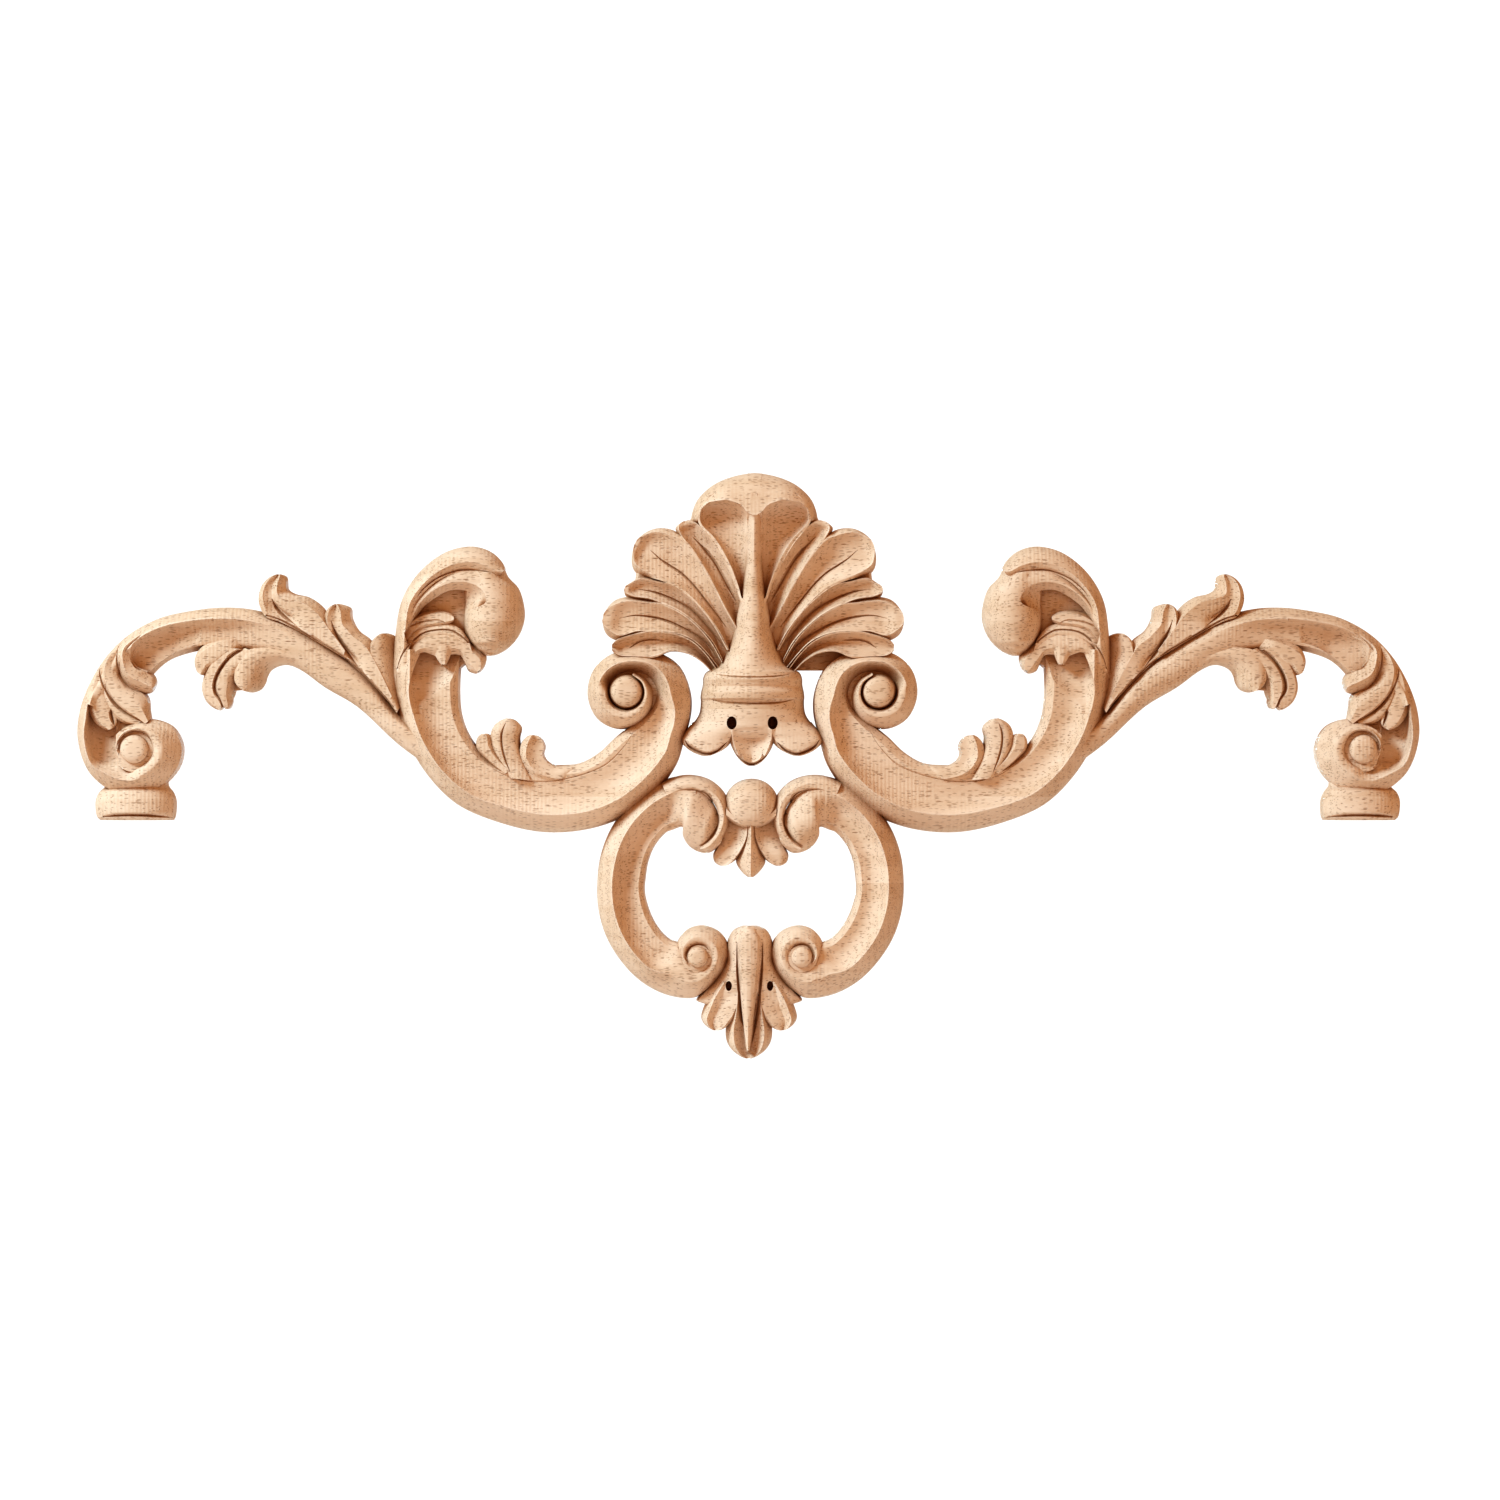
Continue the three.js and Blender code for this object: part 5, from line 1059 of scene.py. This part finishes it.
def drilled(aside, level_of_eyes, radii, floor):
    """Cutters for a pair of drilled eyes that narrow downwards."""
    top = DRAWN_THICKNESS + SPARE
    profile = [[0, floor], [.6, floor], [.85, floor + 2], [1, floor + 6], [1, top], [0, top]]
    return [turned([side * aside, level_of_eyes], radii, profile, False) for side in (-1, 1)]


def scored(body, points, width, depth):
    """A cutter for one V-cut that follows the face of a body and runs out at both ends."""
    sizes = bpy.context.scene.headpiece_sizes
    path = EdgeCurve(points)
    plan, relief = sizes.length / DRAWN_LENGTH, sizes.thickness / DRAWN_THICKNESS
    ahead = -2 * sizes.thickness
    stops = [i / sizes.score_steps for i in range(path.spans * sizes.score_steps + 1)]
    places = [path.at(stop) for stop in stops]
    heights = []
    height = DRAWN_THICKNESS
    for place in places:
        found, hit, normal, index = body.ray_cast((plan * place.x, ahead, plan * place.y), (0, 1, 0))
        if found:
            height = max(SCORE_FLOOR, -hit.y / relief)
        heights.append(height)
    rows = []
    for i, place in enumerate(places):
        near = heights[max(i - SCORE_NEAR, 0):i + SCORE_NEAR + 1]
        level = sum(near) / len(near)
        along = (places[min(i + 1, len(places) - 1)] - places[max(i - 1, 0)]).normalized()
        side = Vector((-along.y, along.x))
        share = min(1, SCORE_START + SCORE_RISE * min(i, len(places) - 1 - i) / len(places))
        reach = share * width
        bottom = level - share * depth
        top = level + share * depth
        left, right = place + side * reach, place - side * reach
        rows.append([carved(*left, top), carved(*place, bottom), carved(*right, top), carved(*left, top)])
    tips = [[carved(*places[i], heights[i])] * 4 for i in (0, -1)]
    return closed_body([tips[0], *rows[1:-1], tips[1]], False)


# Joining the carved forms

def kept(bodies, part):
    """Keeps bodies in a collection, to be joined once all of them are there."""
    group = bpy.data.collections.get(part)
    if group is None:
        group = bpy.data.collections.new(part)
        bpy.context.scene.collection.children.link(group)
    for body in bodies:
        for old in list(body.users_collection):
            old.objects.unlink(body)
        group.objects.link(body)


def carve(body, part, operation):
    """Joins all bodies of a collection to a body, or cuts them out of it."""
    group = bpy.data.collections[part]
    select_only(body)
    modifier = body.modifiers.new("carve", "BOOLEAN")
    modifier.operation = operation
    modifier.solver = "MANIFOLD"
    modifier.operand_type = "COLLECTION"
    modifier.collection = group
    bpy.ops.object.modifier_apply(modifier=modifier.name)
    for other in list(group.objects):
        bpy.data.objects.remove(other)
    bpy.data.collections.remove(group)


def joined(part):
    """Joins all bodies of a collection to one."""
    first = bpy.data.collections[part].objects[0]
    bpy.data.collections[part].objects.unlink(first)
    bpy.context.scene.collection.objects.link(first)
    carve(first, part, "UNION")
    return first


def mirror_image(body):
    select_only(body)
    bpy.ops.object.duplicate()
    image = bpy.context.object
    image.scale.x = -1
    bpy.ops.object.transform_apply(location=False, rotation=False, scale=True)
    bpy.ops.object.mode_set(mode="EDIT")
    face_outwards(image)
    bpy.ops.object.mode_set(mode="OBJECT")
    return image


def waste(sizes):
    """The wood behind the back plane, in small fields so that the planed back stays in small faces."""
    bpy.ops.object.select_all(action="DESELECT")
    bpy.ops.mesh.primitive_grid_add(
        x_subdivisions=BACK_GRID[0], y_subdivisions=BACK_GRID[1], size=1,
        rotation=(math.radians(90), 0, 0))
    block = bpy.context.object
    block.scale = (BACK_SPAN[0] * sizes.length, BACK_SPAN[1] * sizes.length, 1)
    bpy.ops.object.transform_apply(location=False, rotation=True, scale=True)
    bpy.ops.object.mode_set(mode="EDIT")
    bpy.ops.mesh.select_all(action="SELECT")
    bpy.ops.mesh.extrude_region_move(
        TRANSFORM_OT_translate={"value": (0, sizes.thickness, 0), "orient_type": "GLOBAL"})
    face_outwards(block)
    bpy.ops.object.mode_set(mode="OBJECT")
    return block


def lean_right_half(body):
    """Moves the right half by the small amounts by which it differs from the left one."""
    sizes = bpy.context.scene.headpiece_sizes
    plan = sizes.length / DRAWN_LENGTH
    for vertex in body.data.vertices:
        x, z = vertex.co.x / plan, vertex.co.z / plan
        share = ease(min(1, max(0, (x + BLEND) / (2 * BLEND))))
        shift = sizes.right_lean * (z - LEVEL) - sizes.arm_shorter * max(0, x - SHORT_FROM)
        vertex.co.x = plan * (x + share * shift)


# Wood

class Value:
    """A number that varies over the surface. Python's operators on it add Math nodes."""

    def __init__(self, tree, socket):
        self.tree = tree
        self.socket = socket

    def math(self, operation, *values):
        return self.tree.node("ShaderNodeMath", {"operation": operation}, dict(enumerate(values)))

    def __add__(self, other):
        return self.math("ADD", self, other)

    def __radd__(self, other):
        return self.math("ADD", other, self)

    def __sub__(self, other):
        return self.math("SUBTRACT", self, other)

    def __rsub__(self, other):
        return self.math("SUBTRACT", other, self)

    def __mul__(self, other):
        return self.math("MULTIPLY", self, other)

    def __rmul__(self, other):
        return self.math("MULTIPLY", other, self)

    def __truediv__(self, other):
        return self.math("DIVIDE", self, other)

    def __abs__(self):
        return self.math("ABSOLUTE", self)

    def floor(self):
        return self.math("FLOOR", self)

    def fraction(self):
        return self.math("FRACT", self)

    def ramp(self, start, end):
        """0 up to start, 1 from end on, and a smooth rise between; start may be the higher one."""
        return self.tree.node(
            "ShaderNodeMapRange", {"interpolation_type": "SMOOTHSTEP"},
            {"Value": self, "From Min": start, "From Max": end})


class Shading:
    """The node tree of one material."""

    def __init__(self, name):
        self.material = bpy.data.materials.new(name)
        self.material.use_nodes = True
        self.nodes = self.material.node_tree.nodes
        self.links = self.material.node_tree.links
        self.nodes.clear()

    def node(self, kind, settings, values, output=0):
        """Adds a node, sets it up, then fills or links its sockets, and returns one output."""
        node = self.nodes.new(kind)
        for name, setting in settings.items():
            setattr(node, name, setting)
        for socket, value in values.items():
            if isinstance(value, Value):
                self.links.new(value.socket, node.inputs[socket])
            else:
                node.inputs[socket].default_value = value
        return Value(self, node.outputs[output])

    def point(self, x, y, z):
        return self.node("ShaderNodeCombineXYZ", {}, {"X": x, "Y": y, "Z": z})

    def noise(self, place, detail=2.0, roughness=0.5):
        return self.node(
            "ShaderNodeTexNoise", {},
            {"Vector": place, "Scale": 1.0, "Detail": detail, "Roughness": roughness})

    def mixed(self, share, first, second):
        """A colour between two colours."""
        first, second = (
            colour if isinstance(colour, Value) else (*colour, 1) for colour in (first, second))
        return self.node(
            "ShaderNodeMix", {"data_type": "RGBA"}, {"Factor": share, 6: first, 7: second}, output=2)

    def dashes(self, place, radius, rarity):
        """1 in small cells, and only in those whose random number lies over the rarity."""
        spot, colour = (
            self.node("ShaderNodeTexVoronoi", {}, {"Vector": place, "Scale": 1.0}, output=output)
            for output in ("Distance", "Color"))
        chance = self.node("ShaderNodeSeparateColor", {}, {"Color": colour})
        return spot.ramp(radius, radius / 2) * (chance - rarity).ramp(0, 0.04)

    def shelter(self, reach, inside):
        """1 on open faces, and less in a hollow, or for inside, less on an arris."""
        return self.node(
            "ShaderNodeAmbientOcclusion", {"samples": 6, "inside": inside, "only_local": True},
            {"Distance": reach}, output="AO")

    def finish(self, shader):
        out = self.nodes.new("ShaderNodeOutputMaterial")
        self.links.new(shader.socket, out.inputs["Surface"])


# Cells of each figure in a metre: along the grain, in depth and upwards

STREAKS = (6, 70, 110)
FLECK = (260, 1000, 1000)
PATCHES = (16, 40, 30)
WARP = (30, 30, 30)
WORKED = (40, 40, 25)
UNEVEN = (90, 90, 90)

# Pores: their cells, radius in a cell, rarity, and how much less rare they are in dense streaks

FINE_PORES = ((300, 1500, 1500), 0.48, 0.7, 0.35)
COARSE_PORES = ((170, 1000, 1000), 0.34, 0.92, 0.1)

# How far each colour covers the face, and how deep each mark is in it. Two of the colours paint light:
# painted shade in the hollows, and paler arrises that are partly painted highlight.

COVER = {"seam": 0.3, "arris": 0.45, "painted_shade": 0.8, "fine": 0.5, "coarse": 0.75}
RELIEF = {"tool": 0.16, "uneven": 0.5, "fleck": 0.7, "fine": 0.6, "coarse": 0.9, "seam": 0.2}


def wood_material():
    """Pale open-pored wood, glued from laths: the pores and streaks run along X. Painted shade darkens its
    hollows, and its arrises are paler, partly from painted highlight.
    """
    finish = bpy.context.scene.headpiece_wood
    wood = Shading("wood")
    place = wood.node("ShaderNodeTexCoord", {}, {}, output="Object")
    x, y, z = (wood.node("ShaderNodeSeparateXYZ", {}, {"Vector": place}, output=axis) for axis in "XYZ")

    def spread(cells):
        return [axis * count for axis, count in zip((x, y, z), cells)]

    # each lath has a tint and a figure of its own
    level = (z - finish.seam_level) / finish.lath_height
    lath = level.floor()
    tint = wood.node("ShaderNodeTexWhiteNoise", {"noise_dimensions": "1D"}, {"W": lath + 0.5})
    seam = abs(level.fraction() - 0.5).ramp(0.4935, 0.4985)
    shift = lath * 0.37

    # long soft streaks of the growth rings, and a finer fleck
    along, deep, up = spread(STREAKS)
    streaks = wood.noise(wood.point(along + shift, deep, up + shift), 3, 0.55)
    fleck = wood.noise(wood.point(*spread(FLECK)), 2, 0.6)
    along, deep, up = spread(PATCHES)
    patches = wood.noise(wood.point(along + shift, deep, up), 2, 0.5)

    # open pores: short dark dashes along the grain, denser in some streaks, and a few long ones
    warp = wood.noise(wood.point(*spread(WARP)), 1, 0.5) * 1.5
    dense = streaks.ramp(0.35, 0.65)
    marks = {}
    for kind, (cells, radius, rarity, more) in (("fine", FINE_PORES), ("coarse", COARSE_PORES)):
        along, deep, up = spread(cells)
        marks[kind] = wood.dashes(wood.point(along, deep, up + warp), radius, rarity - dense * more)

    # upright tool marks, where they were not sanded away
    tool = wood.node("ShaderNodeMath", {"operation": "SINE"}, {0: x * (2 * math.pi / finish.tool_pitch)})
    worked = wood.noise(wood.point(*spread(WORKED)), 1, 0.5).ramp(0.4, 0.65)

    # painted shade: hollows darken towards the deep colour where nearby walls shelter them; arrises turn
    # paler, partly worn and partly painted highlight
    painted_shade = wood.shelter(finish.painted_shade_reach, False).ramp(0.8, 0.15)
    arris = wood.shelter(finish.arris_reach, True).ramp(0.8, 0.35)

    share = (streaks.ramp(0.3, 0.75) * 0.38 + patches.ramp(0.3, 0.8) * 0.27
             + tint * 0.22 + fleck * 0.5 + tool * worked * 0.08 - 0.24)
    face = wood.mixed(share, finish.pale, finish.warm)
    face = wood.mixed(seam * COVER["seam"], face, finish.warm)
    # paler arrises: partly wear and partly painted highlight
    face = wood.mixed(arris * COVER["arris"], face, finish.rubbed_and_highlit)
    # painted shade in the hollows, darker where walls shelter a face
    face = wood.mixed(painted_shade * COVER["painted_shade"], face, finish.deep)
    for kind, mark in marks.items():
        face = wood.mixed(mark * COVER[kind], face, finish.pore)

    uneven = wood.noise(wood.point(*spread(UNEVEN)), 2, 0.5)
    height = tool * worked * RELIEF["tool"] + uneven * RELIEF["uneven"] + fleck * RELIEF["fleck"]
    for kind, mark in {**marks, "seam": seam}.items():
        height = height - mark * RELIEF[kind]
    bump = wood.node("ShaderNodeBump", {}, {"Height": height, "Strength": 0.6, "Distance": 0.0004})
    shader = wood.node(
        "ShaderNodeBsdfPrincipled", {},
        {"Base Color": face, "Roughness": finish.roughness, "IOR": 1.45,
         "Specular IOR Level": 0.3, "Normal": bump})
    wood.finish(shader)
    return wood.material


# Operators

class HEADPIECE_OT_scrolls(bpy.types.Operator):
    """Carve the left S-scroll with its crest and leaves"""

    bl_idname = "headpiece.scrolls"
    bl_label = "Scrolls"

    def execute(self, context):
        kept([*s_scroll(), *crest(), *grounds()], "forms")
        kept([*crest_leaves(), *scroll_leaves()], "half")
        return {"FINISHED"}


class HEADPIECE_OT_arms(bpy.types.Operator):
    """Carve the left arm with its leaves and its foot"""

    bl_idname = "headpiece.arms"
    bl_label = "Arms"

    def execute(self, context):
        kept([*arm(), foot()], "forms")
        kept([*foot_leaves(), *arch_leaves()], "half")
        return {"FINISHED"}


class HEADPIECE_OT_shell(bpy.types.Operator):
    """Carve the left half of the shell and its crown"""

    bl_idname = "headpiece.shell"
    bl_label = "Shell"

    def execute(self, context):
        kept([*lobes(), *crown()], "forms")
        return {"FINISHED"}


class HEADPIECE_OT_flower(bpy.types.Operator):
    """Carve the stem and the bell flower"""

    bl_idname = "headpiece.flower"
    bl_label = "Bell flower"

    def execute(self, context):
        kept([bell_side()], "half")
        kept([bell_body(), bell_middle(), web()], "centre")
        kept(drilled(*BELL_EYES), "eyes")
        return {"FINISHED"}


class HEADPIECE_OT_ring(bpy.types.Operator):
    """Carve the ring with its bead, its pendant and the leaf at its foot"""

    bl_idname = "headpiece.ring"
    bl_label = "Ring"

    def execute(self, context):
        kept(ring(), "forms")
        kept([pendant_petal(), tail_side()], "half")
        kept([*bead(), *tail_centre()], "centre")
        kept(drilled(*TAIL_EYES), "eyes")
        return {"FINISHED"}


class HEADPIECE_OT_headpiece(bpy.types.Operator):
    """Join the carved forms to one piece and plane its back flat"""

    bl_idname = "headpiece.headpiece"
    bl_label = "Headpiece"

    def execute(self, context):
        sizes = context.scene.headpiece_sizes
        forms = joined("forms")
        kept(hollows(), "hollows")
        carve(forms, "hollows", "DIFFERENCE")
        kept([forms], "half")
        half = joined("half")
        kept([half, mirror_image(half)], "centre")
        piece = joined("centre")
        kept([waste(sizes)], "eyes")
        carve(piece, "eyes", "DIFFERENCE")
        for width, depth, *plan in fine_cuts():
            points = list(zip(plan[::2], plan[1::2]))
            kept([scored(piece, points, width, depth)], "cuts")
            if points[-1][0] < 0:
                kept([scored(piece, [(-x, z) for x, z in points], width, depth)], "cuts")
        carve(piece, "cuts", "DIFFERENCE")
        lean_right_half(piece)
        select_only(piece)
        bpy.ops.object.mode_set(mode="EDIT")
        bpy.ops.mesh.select_all(action="SELECT")
        bpy.ops.mesh.dissolve_degenerate(threshold=MERGE)
        bpy.ops.object.mode_set(mode="OBJECT")
        piece.data.validate()
        if len(piece.data.polygons) < FEWEST_FACES:
            raise RuntimeError("the carved forms didn't join to one piece")
        piece.name = "carved_headpiece"
        piece.data.name = piece.name
        select_only(piece)
        bpy.ops.object.shade_smooth_by_angle(angle=sizes.crisp_angle)
        piece.data.materials.clear()
        piece.data.materials.append(wood_material())
        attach(piece, "root")
        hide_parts(NODE)
        return {"FINISHED"}


# Places and sizes in the studio, in metres

KEY_PLACE = (-1.54, -1.18, 1.38)
BACK_PLACE = (0, 4.6, 0.03)
LIGHT_TARGET = (0, 0, 0.03)
LIGHT_WIDTH = 0.8
SENSOR_WIDTH = 36       # millimetres
FLOOR_RADIUS = 1.2


def area_light(name, place, power, colour):
    bpy.ops.object.light_add(type="AREA", location=place)
    light = bpy.context.object
    light.name = name
    light.data.shape = "DISK"
    light.data.size = LIGHT_WIDTH
    light.data.energy = power
    light.data.color = colour
    light.rotation_euler = (Vector(LIGHT_TARGET) - light.location).to_track_quat("-Z", "Y").to_euler()


class HEADPIECE_OT_studio(bpy.types.Operator):
    """Set up the camera, the lights, the white surround and the floor"""

    bl_idname = "headpiece.studio"
    bl_label = "Studio"

    def execute(self, context):
        studio = context.scene.headpiece_studio
        bpy.ops.object.camera_add(
            location=(0, -studio.camera_distance, studio.picture_level))
        camera = context.object
        camera.name = "camera"
        camera.rotation_euler = (math.radians(90), 0, 0)
        camera.data.sensor_width = SENSOR_WIDTH
        camera.data.lens = SENSOR_WIDTH * studio.camera_distance / studio.picture_width
        context.scene.camera = camera

        area_light("key", KEY_PLACE, studio.key_power, studio.key_colour)
        area_light("back", BACK_PLACE, studio.back_power, studio.key_colour)

        world = bpy.data.worlds.new("surround")
        context.scene.world = world
        world.use_nodes = True
        nodes, links = world.node_tree.nodes, world.node_tree.links
        nodes.clear()
        seen, lit = (nodes.new("ShaderNodeBackground") for i in range(2))
        seen.inputs["Strength"].default_value = 1
        lit.inputs["Strength"].default_value = studio.surround
        seen.inputs["Color"].default_value = (1, 1, 1, 1)
        aim, split, behind, tone = (nodes.new(kind) for kind in (
            "ShaderNodeTexCoord", "ShaderNodeSeparateXYZ", "ShaderNodeMapRange", "ShaderNodeMix"))
        behind.inputs["From Max"].default_value = 0.6
        tone.data_type = "RGBA"
        tone.inputs[6].default_value = (*studio.surround_colour, 1)
        tone.inputs[7].default_value = (*studio.behind_colour, 1)
        links.new(aim.outputs["Generated"], split.inputs[0])
        links.new(split.outputs["Y"], behind.inputs["Value"])
        links.new(behind.outputs[0], tone.inputs["Factor"])
        links.new(tone.outputs[2], lit.inputs["Color"])
        path, mix, out = (nodes.new(kind) for kind in (
            "ShaderNodeLightPath", "ShaderNodeMixShader", "ShaderNodeOutputWorld"))
        links.new(path.outputs["Is Camera Ray"], mix.inputs[0])
        links.new(lit.outputs[0], mix.inputs[1])
        links.new(seen.outputs[0], mix.inputs[2])
        links.new(mix.outputs[0], out.inputs["Surface"])
        context.scene.view_settings.view_transform = "Standard"
        context.scene.view_settings.look = "Medium High Contrast"

        bpy.ops.object.select_all(action="DESELECT")
        bpy.ops.mesh.primitive_circle_add(
            vertices=64, radius=FLOOR_RADIUS, fill_type="NGON", location=(0, 0, studio.floor_level))
        floor = context.object
        floor.name = "floor"
        pale = Shading("floor")
        shader = pale.node(
            "ShaderNodeBsdfPrincipled", {}, {"Base Color": (0.9, 0.9, 0.9, 1), "Roughness": 0.8})
        pale.finish(shader)
        floor.data.materials.append(pale.material)
        return {"FINISHED"}


STEPS = (
    HEADPIECE_OT_scrolls, HEADPIECE_OT_arms, HEADPIECE_OT_shell, HEADPIECE_OT_flower,
    HEADPIECE_OT_ring, HEADPIECE_OT_headpiece, HEADPIECE_OT_studio,
)


class HEADPIECE_PT_panel(bpy.types.Panel):
    """Lists the sizes, the finish and the steps of the headpiece"""

    bl_label = "Carved headpiece"
    bl_space_type = "VIEW_3D"
    bl_region_type = "UI"
    bl_category = "Headpiece"

    def draw(self, context):
        for settings in (context.scene.headpiece_sizes, context.scene.headpiece_wood,
                         context.scene.headpiece_studio):
            box = self.layout.box()
            for name in settings.__annotations__:
                box.prop(settings, name)
        for step in STEPS:
            self.layout.operator(step.bl_idname)


CLASSES = (HeadpieceSizes, WoodFinish, StudioSettings, *STEPS, HEADPIECE_PT_panel)


def register():
    for cls in CLASSES:
        bpy.utils.register_class(cls)
    bpy.types.Scene.headpiece_sizes = bpy.props.PointerProperty(type=HeadpieceSizes)
    bpy.types.Scene.headpiece_wood = bpy.props.PointerProperty(type=WoodFinish)
    bpy.types.Scene.headpiece_studio = bpy.props.PointerProperty(type=StudioSettings)


def unregister():
    del bpy.types.Scene.headpiece_sizes
    del bpy.types.Scene.headpiece_wood
    del bpy.types.Scene.headpiece_studio
    for cls in reversed(CLASSES):
        bpy.utils.unregister_class(cls)


def main():
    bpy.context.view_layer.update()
    register()
    bpy.ops.headpiece.scrolls()
    bpy.ops.headpiece.arms()
    bpy.ops.headpiece.shell()
    bpy.ops.headpiece.flower()
    bpy.ops.headpiece.ring()
    bpy.ops.headpiece.headpiece()
    bpy.ops.headpiece.studio()


if __name__ == "__main__":
    main()
